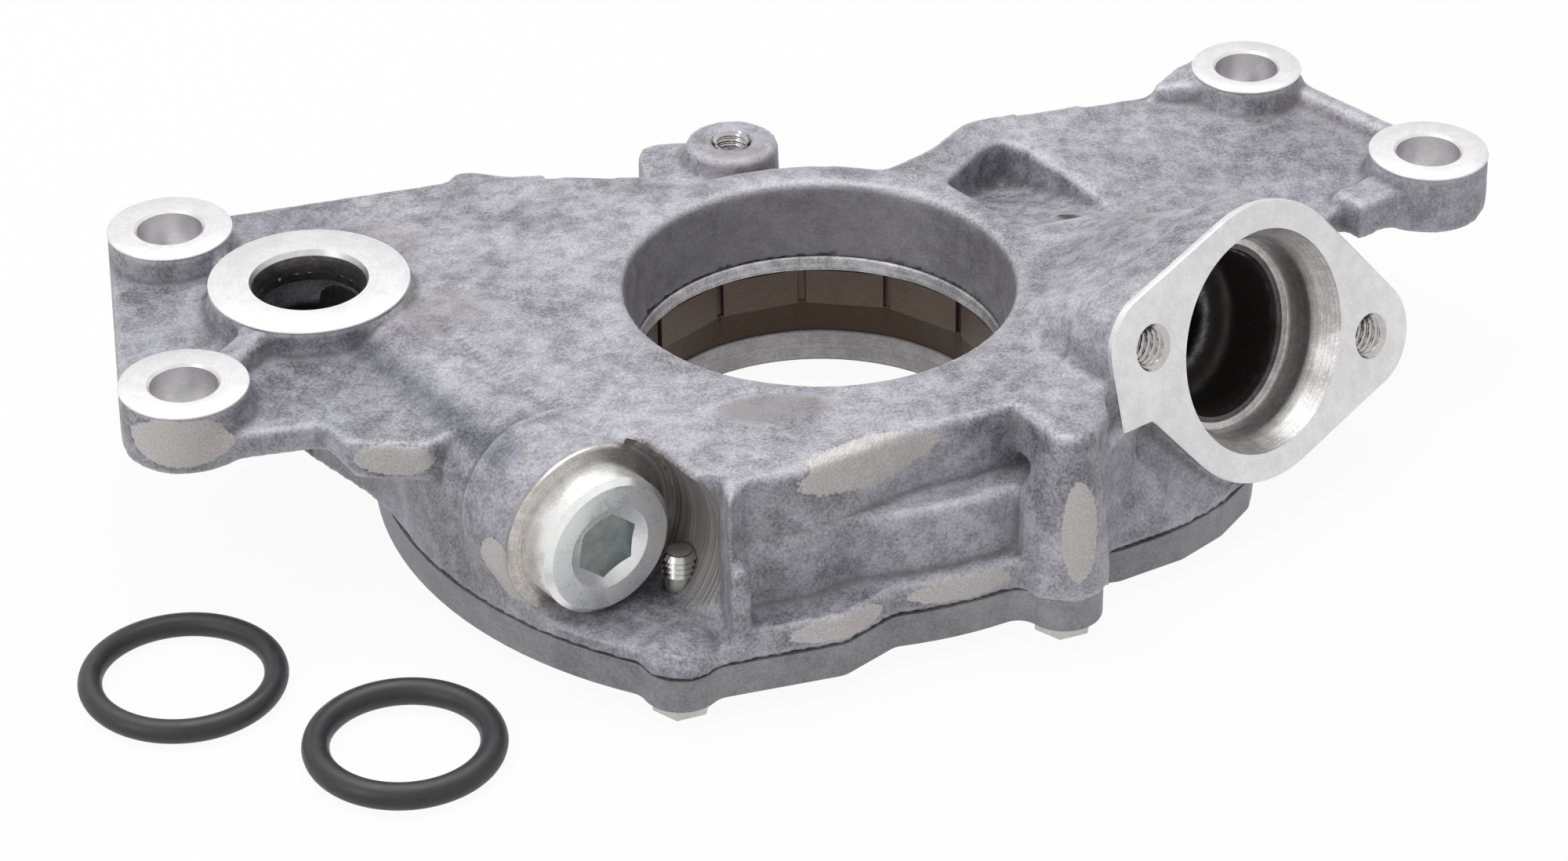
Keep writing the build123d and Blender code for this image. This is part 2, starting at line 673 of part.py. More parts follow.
def build():
    """Every piece by its name."""
    pieces = {
        "housing": housing(),
        "cover": cover(),
        "inner_rotor": inner_rotor(),
        "outer_rotor": outer_rotor(),
        "relief_plug": relief_plug(),
        "relief_piston": relief_piston(),
        "relief_spring": relief_spring(),
    }
    for index, place in enumerate(cover_bolts):
        pieces[f"cover_bolt_{index + 1}"] = cover_bolt(place)
    pieces["pickup_seal_1"] = loose_seal(seal_1_place, seal_1_ring_radius, seal_1_section_radius)
    pieces["pickup_seal_2"] = loose_seal(seal_2_place, seal_2_ring_radius, seal_2_section_radius)
    return pieces


os.makedirs("parts", exist_ok=True)
for name, solid in build().items():
    export_step(solid, f"parts/{name}.step")
    print(name, "volume", round(solid.volume, 1))
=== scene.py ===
# %% [markdown]
# # An engine oil pump, dressed for its photograph
# The solids of this pump come from the CAD file, packed as a fixed frame. This script gives
# them the look of the real thing: a die casting with soft edges and a mottled skin, a few
# bright machined faces, zinc plated bolts, and two black rubber rings. Every object is in
# metres in the CAD frame, whose origin is on the crank axis in the joint of the cover.

# %% Load the frame
import json

import bmesh
import bpy
import numpy as np
from mathutils import Matrix, Vector

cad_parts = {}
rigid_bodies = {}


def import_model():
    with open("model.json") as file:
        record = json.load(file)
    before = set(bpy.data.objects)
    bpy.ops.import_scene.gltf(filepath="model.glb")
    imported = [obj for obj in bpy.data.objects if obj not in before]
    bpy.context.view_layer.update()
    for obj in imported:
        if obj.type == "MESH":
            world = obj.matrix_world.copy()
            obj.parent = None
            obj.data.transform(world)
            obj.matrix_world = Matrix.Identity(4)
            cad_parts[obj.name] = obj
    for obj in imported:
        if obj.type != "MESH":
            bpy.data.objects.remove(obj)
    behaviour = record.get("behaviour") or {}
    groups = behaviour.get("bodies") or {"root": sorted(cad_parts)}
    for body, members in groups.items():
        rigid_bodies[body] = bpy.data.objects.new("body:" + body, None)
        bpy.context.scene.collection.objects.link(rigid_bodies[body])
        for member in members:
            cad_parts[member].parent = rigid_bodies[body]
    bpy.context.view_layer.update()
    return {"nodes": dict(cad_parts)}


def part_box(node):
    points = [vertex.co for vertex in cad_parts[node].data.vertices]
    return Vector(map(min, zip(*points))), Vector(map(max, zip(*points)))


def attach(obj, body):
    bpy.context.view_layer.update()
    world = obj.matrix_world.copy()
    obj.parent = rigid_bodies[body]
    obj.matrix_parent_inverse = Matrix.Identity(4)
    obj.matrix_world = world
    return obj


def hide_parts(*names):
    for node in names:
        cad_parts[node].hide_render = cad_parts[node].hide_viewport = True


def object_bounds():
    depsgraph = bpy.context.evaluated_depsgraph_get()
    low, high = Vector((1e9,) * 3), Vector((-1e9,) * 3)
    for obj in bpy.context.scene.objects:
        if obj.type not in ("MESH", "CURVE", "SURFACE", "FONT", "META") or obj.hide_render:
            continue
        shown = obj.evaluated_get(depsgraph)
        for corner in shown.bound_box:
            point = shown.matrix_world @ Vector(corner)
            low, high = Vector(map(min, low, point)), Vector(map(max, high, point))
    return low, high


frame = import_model()
nodes = frame["nodes"]
MM = 0.001
print("nodes:", sorted(nodes))

# %% [markdown]
# ## Places that this script shares with the CAD file
# The same few places carry almost everything: the crank axis, the four mounting bosses, the
# discharge ring, the relief valve's axis and the tilted pick-up flange. They are repeated
# here once, in millimetres, because the script can't read the CAD source. A boss is its
# centre in x and y and its outer radius. Three rows of directions turn places into a piece's
# own coordinates, of which the last runs along its axis.

# %% Places and directions
MOUNT_Z, PLATEAU_Z, DECK_Z = 24.5, 23.5, 20.5
BOSSES = {"a": (-85.9, 26.6, 8.6), "b": (-85.9, -14.4, 8.6), "d": (70.2, 48.2, 7.9),
          "e": (89.6, 19.7, 8.4)}
RING = (-68.0, 9.4, 13.65)
SENSOR_AT = np.array([-6.2, 40.4, 0.0])
COVER_BORE_RADIUS = 25.6
POCKET_RADIUS, POCKET_Y = 43.0, 3.0


def unit(vector):
    """The same direction with length one."""
    vector = np.asarray(vector, float)
    return vector / np.linalg.norm(vector)


def basis(axis, right):
    """Three rows: a sideways direction, the one square to it, and the axis."""
    axis = unit(axis)
    side = unit(np.asarray(right, float) - np.dot(right, axis) * axis)
    return np.array([side, np.cross(axis, side), axis])


def level_direction(degrees, tilt=0.0):
    """A direction from its compass angle and its tilt above the level."""
    a, t = np.radians(degrees), np.radians(tilt)
    return np.array([np.cos(t) * np.cos(a), np.cos(t) * np.sin(a), np.sin(t)])


UPRIGHT = basis((0, 0, 1), (1, 0, 0))
relief_axis = level_direction(-62.5)
RELIEF = basis(relief_axis, (-relief_axis[1], relief_axis[0], 0))
RELIEF_AT = np.array([-34.0, -43.8, 12.5])
pickup_axis = level_direction(-54.6, 14.4)
PICKUP = basis(pickup_axis, (-pickup_axis[1], pickup_axis[0], 0))
PICKUP_AT = np.array([57.3, -18.1, 18.8])
EARS = [(20.4, -7.25), (-20.4, 7.25)]
EAR_AT = [PICKUP_AT + x * PICKUP[0] + y * PICKUP[1] for x, y in EARS]
print("pick-up axis", pickup_axis.round(3), "relief axis", relief_axis.round(3))

# %% [markdown]
# ## Meshes from arrays
# A new piece is a grid of points worked out with numpy, so one helper turns any grid into
# quads and another puts arrays into a mesh in one go. Faces that meet at more than 35 degrees
# keep a sharp edge, as turned metal does.

# %% Grid and lathe helpers


def grid_faces(rows, columns, wrap):
    """Quads over a grid of points. With wrap, the last column joins the first."""
    index = np.arange(rows * columns).reshape(rows, columns)
    right = np.roll(index, -1, axis=1) if wrap else index[:, 1:]
    left = index if wrap else index[:, :-1]
    quads = np.stack([left[:-1], right[:-1], right[1:], left[1:]], axis=-1)
    return quads.reshape(-1, 4)


def read(items, what, width=3, kind=np.float32):
    """One property of all the points, edges, loops or faces of a mesh, as rows."""
    values = np.zeros(len(items) * width, kind)
    items.foreach_get(what, values)
    return values.reshape(-1, width)


def put_mesh(name, points, faces, body, material, smooth=True, sharp=35.0):
    """A piece from an array of points in millimetres and an array of quads or triangles."""
    mesh = bpy.data.meshes.new(name)
    count, sides = faces.shape
    mesh.vertices.add(len(points))
    mesh.vertices.foreach_set("co", (np.asarray(points, float) * MM).astype(np.float32).ravel())
    mesh.loops.add(count * sides)
    mesh.loops.foreach_set("vertex_index", faces.astype(np.int32).ravel())
    mesh.polygons.add(count)
    mesh.polygons.foreach_set("loop_start", np.arange(0, count * sides, sides, dtype=np.int32))
    mesh.polygons.foreach_set("use_smooth", np.full(count, smooth))
    mesh.update(calc_edges=True)
    mesh.validate()
    if smooth:
        mesh.set_sharp_from_angle(angle=np.radians(sharp))
    piece = bpy.data.objects.new(name, mesh)
    bpy.context.scene.collection.objects.link(piece)
    piece.data.materials.append(material)
    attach(piece, body)
    print(name, "points", len(points), "faces", count)
    return piece


def lathe(name, profile, at, axes, body, material, steps=160, span=(0.0, 360.0)):
    """A turned surface: a profile of (radius, height) carried round an axis.

    The point at radius r, height h and angle a is
    centre + r cos(a) side + r sin(a) across + h axis.
    The distance along the profile, in millimetres, goes to the map called turn.
    """
    profile = np.asarray(profile, float)
    whole = span[1] - span[0] >= 360.0
    angles = np.radians(np.linspace(span[0], span[1], steps, endpoint=not whole))
    r, h = profile[:, :1], profile[:, 1:]
    ring = r[..., None] * (np.cos(angles)[None, :, None] * axes[0]
                           + np.sin(angles)[None, :, None] * axes[1])
    points = np.asarray(at, float) + ring + h[..., None] * axes[2]
    faces = grid_faces(len(profile), len(angles), whole)
    piece = put_mesh(name, points.reshape(-1, 3), faces, body, material)
    run = np.concatenate([[0], np.cumsum(np.linalg.norm(np.diff(profile, axis=0), axis=1))])
    along = np.repeat(run, len(angles))
    layer = piece.data.uv_layers.new(name="turn")
    loops = read(piece.data.loops, "vertex_index", 1, np.int32)[:, 0]
    uv = np.stack([along[loops], np.zeros(len(loops))], axis=1)
    layer.data.foreach_set("uv", uv.astype(np.float32).ravel())
    return piece


# %% [markdown]
# ## Shader groups
# Three effects come back on several metals. `Mottle` is the cloudy, grainy colour of a
# casting. `Pits` are the tiny dark specks that gas leaves in its skin. `Scratches` are fine
# parallel lines left by a belt or a cutter. Each is a node group with named inputs, and gives
# only values that vary over the surface.

# %% Node helpers


def add(tree, kind, place, **values):
    """A node with some of its settings and sockets filled in."""
    node = tree.nodes.new(kind)
    node.location = place
    for key, value in values.items():
        if hasattr(node, key):
            setattr(node, key, value)
        else:
            node.inputs[key.replace("_", " ")].default_value = value
    return node


def new_group(name, inputs, outputs):
    """An empty shader group with float inputs and the given outputs."""
    group = bpy.data.node_groups.new(name, "ShaderNodeTree")
    group.interface.new_socket("Vector", in_out="INPUT", socket_type="NodeSocketVector")
    for key, value in inputs.items():
        socket = group.interface.new_socket(key, in_out="INPUT", socket_type="NodeSocketFloat")
        socket.default_value = value
    for key in outputs:
        group.interface.new_socket(key, in_out="OUTPUT", socket_type="NodeSocketFloat")
    return group, group.nodes.new("NodeGroupInput"), group.nodes.new("NodeGroupOutput")


def scaled_noise(group, source, factor, detail, place, roughness=0.55):
    """A noise whose scale is the group's Scale input times a factor."""
    times = add(group, "ShaderNodeMath", (place[0] - 180, place[1]), operation="MULTIPLY")
    times.inputs[1].default_value = factor
    group.links.new(source.outputs["Scale"], times.inputs[0])
    noise = add(group, "ShaderNodeTexNoise", place)
    noise.inputs["Detail"].default_value = detail
    noise.inputs["Roughness"].default_value = roughness
    group.links.new(source.outputs["Vector"], noise.inputs["Vector"])
    group.links.new(times.outputs[0], noise.inputs["Scale"])
    return noise


def map_range(group, value, low, high, place, to_low=0.0, to_high=1.0):
    """A smooth step of a value between two levels."""
    step = add(group, "ShaderNodeMapRange", place, interpolation_type="SMOOTHSTEP")
    for socket, number in (("From Min", low), ("From Max", high), ("To Min", to_low),
                           ("To Max", to_high)):
        step.inputs[socket].default_value = number
    group.links.new(value, step.inputs["Value"])
    return step.outputs["Result"]


def math(group, operation, a, b, place):
    """One sum on two sockets or numbers."""
    node = add(group, "ShaderNodeMath", place, operation=operation)
    for index, value in enumerate((a, b)):
        if isinstance(value, (int, float)):
            node.inputs[index].default_value = value
        else:
            group.links.new(value, node.inputs[index])
    return node.outputs[0]


# %% The three groups


def build_mottle():
    """Clouds of two sizes and a fine grain, as one tone about a half, and a height."""
    group, source, sink = new_group("Mottle", {"Scale": 100.0}, ["Tone", "Grain", "Height"])
    clouds = scaled_noise(group, source, 0.55, 4.0, (0, 300))
    patches = scaled_noise(group, source, 3.4, 5.0, (0, 0), 0.62)
    grain = scaled_noise(group, source, 24.0, 3.0, (0, -300), 0.6)
    wide = map_range(group, clouds.outputs["Fac"], 0.38, 0.62, (200, 300))
    near = map_range(group, patches.outputs["Fac"], 0.36, 0.64, (200, 0))
    fine = map_range(group, grain.outputs["Fac"], 0.34, 0.66, (200, -300))
    both = math(group, "ADD", math(group, "MULTIPLY", wide, 0.28, (400, 300)),
                math(group, "MULTIPLY", near, 0.34, (400, 100)), (560, 200))
    tone = math(group, "ADD", both, math(group, "MULTIPLY", fine, 0.38, (400, -100)), (720, 100))
    height = math(group, "ADD", math(group, "MULTIPLY", near, 0.5, (560, -100)),
                  math(group, "MULTIPLY", fine, 0.5, (560, -300)), (720, -200))
    group.links.new(tone, sink.inputs["Tone"])
    group.links.new(fine, sink.inputs["Grain"])
    group.links.new(height, sink.inputs["Height"])
    return group


def build_pits():
    """Small specks where a fine noise is at its highest, thicker where a wide one is high."""
    group, source, sink = new_group("Pits", {"Scale": 100.0, "Amount": 0.5}, ["Mask"])
    specks = scaled_noise(group, source, 22.0, 1.0, (0, 200), 0.4)
    where = scaled_noise(group, source, 0.9, 2.0, (0, -100))
    level = math(group, "MULTIPLY", source.outputs["Amount"], 0.10, (200, -200))
    lift = math(group, "MULTIPLY", map_range(group, where.outputs["Fac"], 0.4, 0.7, (200, -100)),
                level, (400, -100))
    raised = math(group, "ADD", specks.outputs["Fac"], lift, (560, 0))
    group.links.new(map_range(group, raised, 0.735, 0.79, (720, 0)), sink.inputs["Mask"])
    return group


def build_scratches():
    """Noise stretched along one direction, which reads as fine parallel lines."""
    group, source, sink = new_group("Scratches", {"Scale": 100.0, "Stretch": 0.03}, ["Lines"])
    squeeze = add(group, "ShaderNodeCombineXYZ", (-200, 100), X=1.0, Z=1.0)
    group.links.new(source.outputs["Stretch"], squeeze.inputs["Y"])
    place = add(group, "ShaderNodeVectorMath", (0, 100), operation="MULTIPLY")
    group.links.new(source.outputs["Vector"], place.inputs[0])
    group.links.new(squeeze.outputs[0], place.inputs[1])
    noise = add(group, "ShaderNodeTexNoise", (200, 100))
    noise.inputs["Detail"].default_value = 3.0
    group.links.new(place.outputs[0], noise.inputs["Vector"])
    group.links.new(source.outputs["Scale"], noise.inputs["Scale"])
    group.links.new(map_range(group, noise.outputs["Fac"], 0.3, 0.7, (400, 100)),
                    sink.inputs["Lines"])
    return group


MOTTLE, PITS, SCRATCHES = build_mottle(), build_pits(), build_scratches()
print("groups:", [g.name for g in bpy.data.node_groups])

# %% [markdown]
# ## Metals and rubber
# A material starts from the Principled shader. Constant values, such as how metallic it is,
# sit on that shader, and only what varies over the surface is linked: its colour, its
# roughness and a little height.

# %% Material helpers


def new_material(name, metallic, roughness):
    """A material with a Principled shader, its tree and that shader."""
    material = bpy.data.materials.new(name)
    material.use_nodes = True
    tree = material.node_tree
    shader = tree.nodes["Principled BSDF"]
    shader.inputs["Metallic"].default_value = metallic
    shader.inputs["Roughness"].default_value = roughness
    return material, tree, shader


def object_place(tree, turn=(0, 0, 0)):
    """Object coordinates, turned by three angles in degrees."""
    where = add(tree, "ShaderNodeTexCoord", (-1500, 0))
    mapping = add(tree, "ShaderNodeMapping", (-1300, 0))
    mapping.inputs["Rotation"].default_value = np.radians(turn)
    tree.links.new(where.outputs["Object"], mapping.inputs["Vector"])
    return mapping.outputs["Vector"]


def use_group(tree, group, vector, place, **values):
    """One of the groups in a material, with its own values."""
    node = tree.nodes.new("ShaderNodeGroup")
    node.node_tree = group
    node.location = place
    tree.links.new(vector, node.inputs["Vector"])
    for key, value in values.items():
        node.inputs[key].default_value = value
    return node


def mix(tree, factor, a, b, place, blend="MIX"):
    """A colour mix of two colours or sockets."""
    node = tree.nodes.new("ShaderNodeMix")
    node.data_type = "RGBA"
    node.blend_type = blend
    node.location = place
    for socket, value in ((node.inputs[0], factor), (node.inputs[6], a), (node.inputs[7], b)):
        if isinstance(value, (int, float)):
            socket.default_value = value
        elif isinstance(value, tuple):
            socket.default_value = (*value, 1.0)
        else:
            tree.links.new(value, socket)
    return node.outputs[2]


def bump(tree, shader, height, strength, distance):
    """A Bump node from a height to the shader's normal, its depth in metres."""
    node = add(tree, "ShaderNodeBump", (-200, -300), Strength=strength, Distance=distance)
    tree.links.new(height, node.inputs["Height"])
    tree.links.new(node.outputs["Normal"], shader.inputs["Normal"])


def attribute(tree, name, place):
    """A value that the piece's mesh carries at each vertex."""
    return add(tree, "ShaderNodeAttribute", place, attribute_name=name).outputs["Fac"]


# %% [markdown]
# ### The casting
# Die-cast aluminium is blue grey and cloudy, a little lilac where the die's spray dried.
# Edges are rubbed lighter, and concave corners are painted darker, as painted shade and dirt
# together. On a few front faces a belt took the flash off and left a warm, pale, finely
# scratched patch. The mesh carries these masks and a few more: painted shade on the crank
# bore's wall, near-black painted shade in deep holes, painted shade on the relief barrel's
# flank with darker decks, and cutter arcs on the milled wall round the plug, painted dark as
# shade. The colour is laid on in layers, one mask at a time.

# %% Casting material
# Of these, corner holds painted shade with dirt, bore and inside hold painted shade, and the last
# one holds painted shade on the flank with darker decks.
MASK_NAMES = ("edge", "corner", "belt", "stain", "bore", "cut", "feed_out", "feed_along",
              "inside", "flank_shade_dark_deck")


def casting_material(name, light, dark, body=True):
    """The mottled skin of the housing and the cover."""
    material, tree, shader = new_material(name, 0.25, 0.5)
    place = object_place(tree)
    mottle = use_group(tree, MOTTLE, place, (-1000, 300), Scale=105.0)
    pits = use_group(tree, PITS, place, (-1000, 0), Scale=150.0, Amount=0.55)
    colour = mix(tree, mottle.outputs["Tone"], dark, light, (-700, 300))
    lilac = scaled_tint(tree, place)
    colour = mix(tree, lilac, colour, (0.80, 0.775, 0.84), (-560, 300), "MULTIPLY")
    colour = mix(tree, pits.outputs["Mask"], colour, (0.10, 0.10, 0.10), (-420, 300))
    height = mottle.outputs["Height"]
    rough = map_range(tree, mottle.outputs["Tone"], 0.2, 0.8, (-700, -100), 0.42, 0.58)
    if body:
        mask = {key: attribute(tree, key, (-1300, 600 - 100 * row))
                for row, key in enumerate(MASK_NAMES)}
        grain = map_range(tree, mottle.outputs["Grain"], 0.0, 0.8, (-1100, 700), 0.5, 1.0)
        rub = math(tree, "MULTIPLY", mask["edge"], grain, (-900, 600))
        # Each layer: where it lies, how strong it is, its colour, and how it is laid on.
        # Painted shade: the corner layer (with dirt), the bore layer, the near-black inside layer,
        # and the bluish multiply on the relief barrel's flank, which also darkens the decks.
        layers = [(mask["corner"], 0.72, (0.10, 0.097, 0.10), "MIX"),
                  (mask["bore"], 0.62, (0.23, 0.225, 0.237), "MIX"),
                  (mask["inside"], 1.0, (0.030, 0.027, 0.026), "MIX"),
                  (mask["flank_shade_dark_deck"], 1.0, (0.62, 0.63, 0.68), "MULTIPLY"),
                  (mask["stain"], mottle.outputs["Tone"], (0.17, 0.14, 0.115), "MIX"),
                  (rub, 0.5, (0.66, 0.66, 0.70), "MIX")]
        for row, (where, strength, paint, blend) in enumerate(layers):
            share = math(tree, "MULTIPLY", where, strength, (-800, 500 - 50 * row))
            colour = mix(tree, share, colour, paint, (-300 + 40 * row, 400), blend)
        lines = use_group(tree, SCRATCHES, object_place(tree, (12, 8, 24)), (-1000, -300),
                          Scale=4200.0, Stretch=0.02)
        warm = mix(tree, lines.outputs["Lines"], (0.46, 0.435, 0.425), (0.62, 0.60, 0.59),
                   (-500, -300))
        torn = math(tree, "ADD", mask["belt"], math(tree, "MULTIPLY", mottle.outputs["Tone"], 0.35,
                                                    (-900, -500)), (-760, -500))
        patch = map_range(tree, torn, 0.66, 0.72, (-600, -500))
        colour = mix(tree, patch, colour, warm, (-80, 400))
        # The milled wall round the plug: the cutter's arcs, laid on dark as painted shade.
        feed = add(tree, "ShaderNodeCombineXYZ", (-900, -650))
        tree.links.new(mask["feed_out"], feed.inputs["X"])
        tree.links.new(mask["feed_along"], feed.inputs["Y"])
        arcs = add(tree, "ShaderNodeTexNoise", (-700, -650), Scale=2.6, Detail=2.0)
        tree.links.new(feed.outputs[0], arcs.inputs["Vector"])
        turned = mix(tree, map_range(tree, arcs.outputs["Fac"], 0.38, 0.62, (-520, -650)),
                     (0.20, 0.19, 0.185), (0.40, 0.385, 0.37), (-300, -650))
        colour = mix(tree, mask["cut"], colour, turned, (-40, 400))
        height = math(tree, "ADD", height, math(tree, "MULTIPLY", lines.outputs["Lines"], patch,
                                                (-400, -500)), (-300, -400))
    tree.links.new(colour, shader.inputs["Base Color"])
    tree.links.new(rough, shader.inputs["Roughness"])
    bump(tree, shader, height, 0.35, 0.08 * MM)
    return material


def scaled_tint(tree, place):
    """A slow drift of tint over the casting, from none to slight."""
    noise = add(tree, "ShaderNodeTexNoise", (-1000, 500), Scale=38.0, Detail=3.0)
    tree.links.new(place, noise.inputs["Vector"])
    return map_range(tree, noise.outputs["Fac"], 0.35, 0.75, (-820, 500), 0.0, 0.35)


CASTING = casting_material("cast_aluminium", (0.570, 0.562, 0.613), (0.112, 0.110, 0.123))
COVER = casting_material("cover_aluminium", (0.39, 0.384, 0.403), (0.18, 0.177, 0.188),
                         body=False)

# %% [markdown]
# ### Machined aluminium, steel and rubber
# A cutter leaves rings at its feed, which catch the light as fine bands. Turned pieces carry
# the distance along their profile in a map, so one noise over that distance draws the rings.

# %% Machined, plated, sintered and rubber materials


def turned_material(name, light, dark, roughness, feed, metallic=0.9):
    """Bright metal with rings at the cutter's feed, from the turn map, and faint clouds."""
    material, tree, shader = new_material(name, metallic, roughness)
    turn = add(tree, "ShaderNodeUVMap", (-1300, 200), uv_map="turn")
    stretch = add(tree, "ShaderNodeVectorMath", (-1100, 200), operation="MULTIPLY")
    stretch.inputs[1].default_value = (feed, 0.0, 0.0)
    tree.links.new(turn.outputs["UV"], stretch.inputs[0])
    rings = add(tree, "ShaderNodeTexNoise", (-900, 200), Scale=1.0, Detail=2.0)
    tree.links.new(stretch.outputs[0], rings.inputs["Vector"])
    mottle = use_group(tree, MOTTLE, object_place(tree), (-900, -100), Scale=140.0)
    tone = math(tree, "ADD", math(tree, "MULTIPLY", rings.outputs["Fac"], 0.7, (-700, 200)),
                math(tree, "MULTIPLY", mottle.outputs["Tone"], 0.45, (-700, 0)), (-540, 100))
    colour = mix(tree, map_range(tree, tone, 0.35, 0.8, (-400, 200)), dark, light, (-240, 200))
    tree.links.new(colour, shader.inputs["Base Color"])
    bump(tree, shader, rings.outputs["Fac"], 0.4, 0.01 * MM)
    return material


def plain_metal(name, light, dark, roughness, metallic, scale=160.0, height=0.02 * MM,
                pits=0.3, below=None):
    """Plated or sintered metal, or rubber: clouds, a few specks and a fine grain.

    Height is the grain's depth in metres. Below holds two heights in millimetres and a tint,
    which comes in between the second height and the first.
    """
    material, tree, shader = new_material(name, metallic, roughness)
    place = object_place(tree)
    mottle = use_group(tree, MOTTLE, place, (-900, 200), Scale=scale)
    colour = mix(tree, mottle.outputs["Tone"], dark, light, (-600, 200))
    if pits > 0:
        specks = use_group(tree, PITS, place, (-900, -100), Scale=scale * 1.3, Amount=pits)
        colour = mix(tree, specks.outputs["Mask"], colour, tuple(0.4 * c for c in dark),
                     (-400, 200))
    if below is not None:
        split = add(tree, "ShaderNodeSeparateXYZ", (-1100, 500))
        tree.links.new(place, split.inputs[0])
        start, end, tint = below
        low = map_range(tree, split.outputs["Z"], start * MM, end * MM, (-900, 500), 1.0, 0.0)
        colour = mix(tree, low, colour, tint, (-300, 200), "MULTIPLY")
    rough = map_range(tree, mottle.outputs["Tone"], 0.2, 0.8, (-600, -100), roughness - 0.06,
                      roughness + 0.08)
    tree.links.new(colour, shader.inputs["Base Color"])
    tree.links.new(rough, shader.inputs["Roughness"])
    bump(tree, shader, mottle.outputs["Grain"], 0.3, height)
    return material


FACED = turned_material("machined_face", (0.80, 0.79, 0.80), (0.66, 0.65, 0.655), 0.34, 5.0)
TURNED = turned_material("turned_bore", (0.74, 0.73, 0.73), (0.44, 0.43, 0.425), 0.38, 3.2)
# A near-black copy of the turned metal: painted shade inside the discharge bore and deep in the
# flange's duct.
SHADED_BORE = turned_material("bore_painted_shade", (0.13, 0.125, 0.125), (0.05, 0.047, 0.047), 0.3, 2.5,
                        metallic=0.5)
LIP = turned_material("bore_lip", (0.56, 0.55, 0.57), (0.24, 0.235, 0.24), 0.34, 4.0)
SPOT = turned_material("spot_face", (0.62, 0.59, 0.56), (0.36, 0.33, 0.31), 0.32, 3.5)
THREAD = plain_metal("thread_metal", (0.56, 0.55, 0.54), (0.40, 0.39, 0.385), 0.16, 1.0,
                     height=0.006 * MM, pits=0.0)
PLATED = plain_metal("zinc_plate", (0.92, 0.93, 0.92), (0.80, 0.81, 0.80), 0.30, 0.7,
                     height=0.006 * MM, pits=0.0)
# The hex socket's walls are a bluish, shinier copy of the plate, a painted sheen, and its bottom a
# darker copy, painted shade.
SOCKET = plain_metal("zinc_socket", (0.88, 0.96, 0.98), (0.74, 0.82, 0.84), 0.08, 1.0,
                     height=0.004 * MM, pits=0.0)
SOCKET_FLOOR = plain_metal("socket_floor", (0.34, 0.33, 0.31), (0.14, 0.135, 0.13), 0.3, 0.9)
COVER_BORE = turned_material("cover_bore", (0.37, 0.357, 0.362), (0.23, 0.222, 0.226), 0.42, 4.0,
                             metallic=0.8)
BOLT_PLATE = plain_metal("bolt_plate", (0.66, 0.67, 0.61), (0.44, 0.45, 0.40), 0.36, 0.8)
SINTERED = plain_metal("sintered_steel", (0.150, 0.108, 0.082), (0.075, 0.055, 0.042), 0.42, 0.6,
                       scale=220.0, height=0.03 * MM, pits=0.4,
                       below=(4.4, 5.0, (0.42, 0.34, 0.26)))
GROUND = plain_metal("ground_steel", (0.50, 0.50, 0.51), (0.38, 0.38, 0.39), 0.25, 0.95)
RUBBER = plain_metal("black_rubber", (0.028, 0.028, 0.030), (0.016, 0.016, 0.018), 0.42, 0.0,
                     scale=260.0, pits=0.2)
print("materials:", len(bpy.data.materials))

# %% [markdown]
# ## The casting's skin
# A die casting has no sharp corners, and fillets on so many meeting faces are hard to get
# from CAD. So the housing's mesh is copied, rebuilt from small cubes, and relaxed. The cubes
# stand askew, since an edge that runs almost along them would come out in long waves. They
# leave slanting edges in steps, so each point then snaps to the nearest point of the CAD
# surface. Last, each point moves towards the mean of its neighbours a few times, which rounds
# every edge and corner by about a millimetre. How far a point moved says if it sat on an edge
# or in a corner, and that becomes a mask for wear on edges and for painted shade with dirt in
# corners.

# %% Voxel copy of the housing
voxel = 0.88 * MM
askew = Matrix.Rotation(np.radians(22.5), 4, "Z")
same_place = 0.002 * MM


def joined_copy(node, flat=None):
    """A node's mesh with doubled points joined and, within an angle, flat faces made one."""
    mesh = nodes[node].data.copy()
    work = bmesh.new()
    work.from_mesh(mesh)
    bmesh.ops.remove_doubles(work, verts=work.verts, dist=same_place)
    if flat is not None:
        bmesh.ops.dissolve_limit(work, angle_limit=np.radians(flat), verts=work.verts,
                                 edges=work.edges)
    work.to_mesh(mesh)
    work.free()
    return mesh


def apply_modifiers(piece):
    """The mesh that a piece's modifiers give becomes its own mesh."""
    made = bpy.data.meshes.new_from_object(
        piece.evaluated_get(bpy.context.evaluated_depsgraph_get()))
    piece.modifiers.clear()
    piece.data = made
    return made


block = joined_copy("housing")
block.transform(askew)
skin = bpy.data.objects.new("cast_skin", block)
bpy.context.scene.collection.objects.link(skin)
remesh = skin.modifiers.new("rebuild", "REMESH")
remesh.mode = "VOXEL"
remesh.voxel_size = voxel
apply_modifiers(skin).transform(askew.inverted())
snap = skin.modifiers.new("snap", "SHRINKWRAP")
snap.target = nodes["housing"]
snap.wrap_method = "NEAREST_SURFACEPOINT"
rebuilt = apply_modifiers(skin)
rebuilt.name = "cast_skin"
count = len(rebuilt.vertices)
raw = read(rebuilt.vertices, "co").astype(float) / MM
ends = read(rebuilt.edges, "vertices", 2, np.int32)
rebuilt.materials.clear()
rebuilt.materials.append(CASTING)
print("skin points", count, "faces", len(rebuilt.polygons))

# %% [markdown]
# Relaxing is a sum over edges, so numpy's bincount does it for all points at once. Round the
# plug the cutter left crisp edges, so points there move less.

# %% Relax the skin
degree = np.bincount(ends.ravel(), minlength=count)[:, None]


def neighbour_mean(points):
    """The mean of each point's neighbours along the edges."""
    total = np.stack([np.bincount(ends[:, 0], points[ends[:, 1], k], count)
                      + np.bincount(ends[:, 1], points[ends[:, 0], k], count)
                      for k in range(3)], axis=1)
    return total / np.maximum(degree, 1)


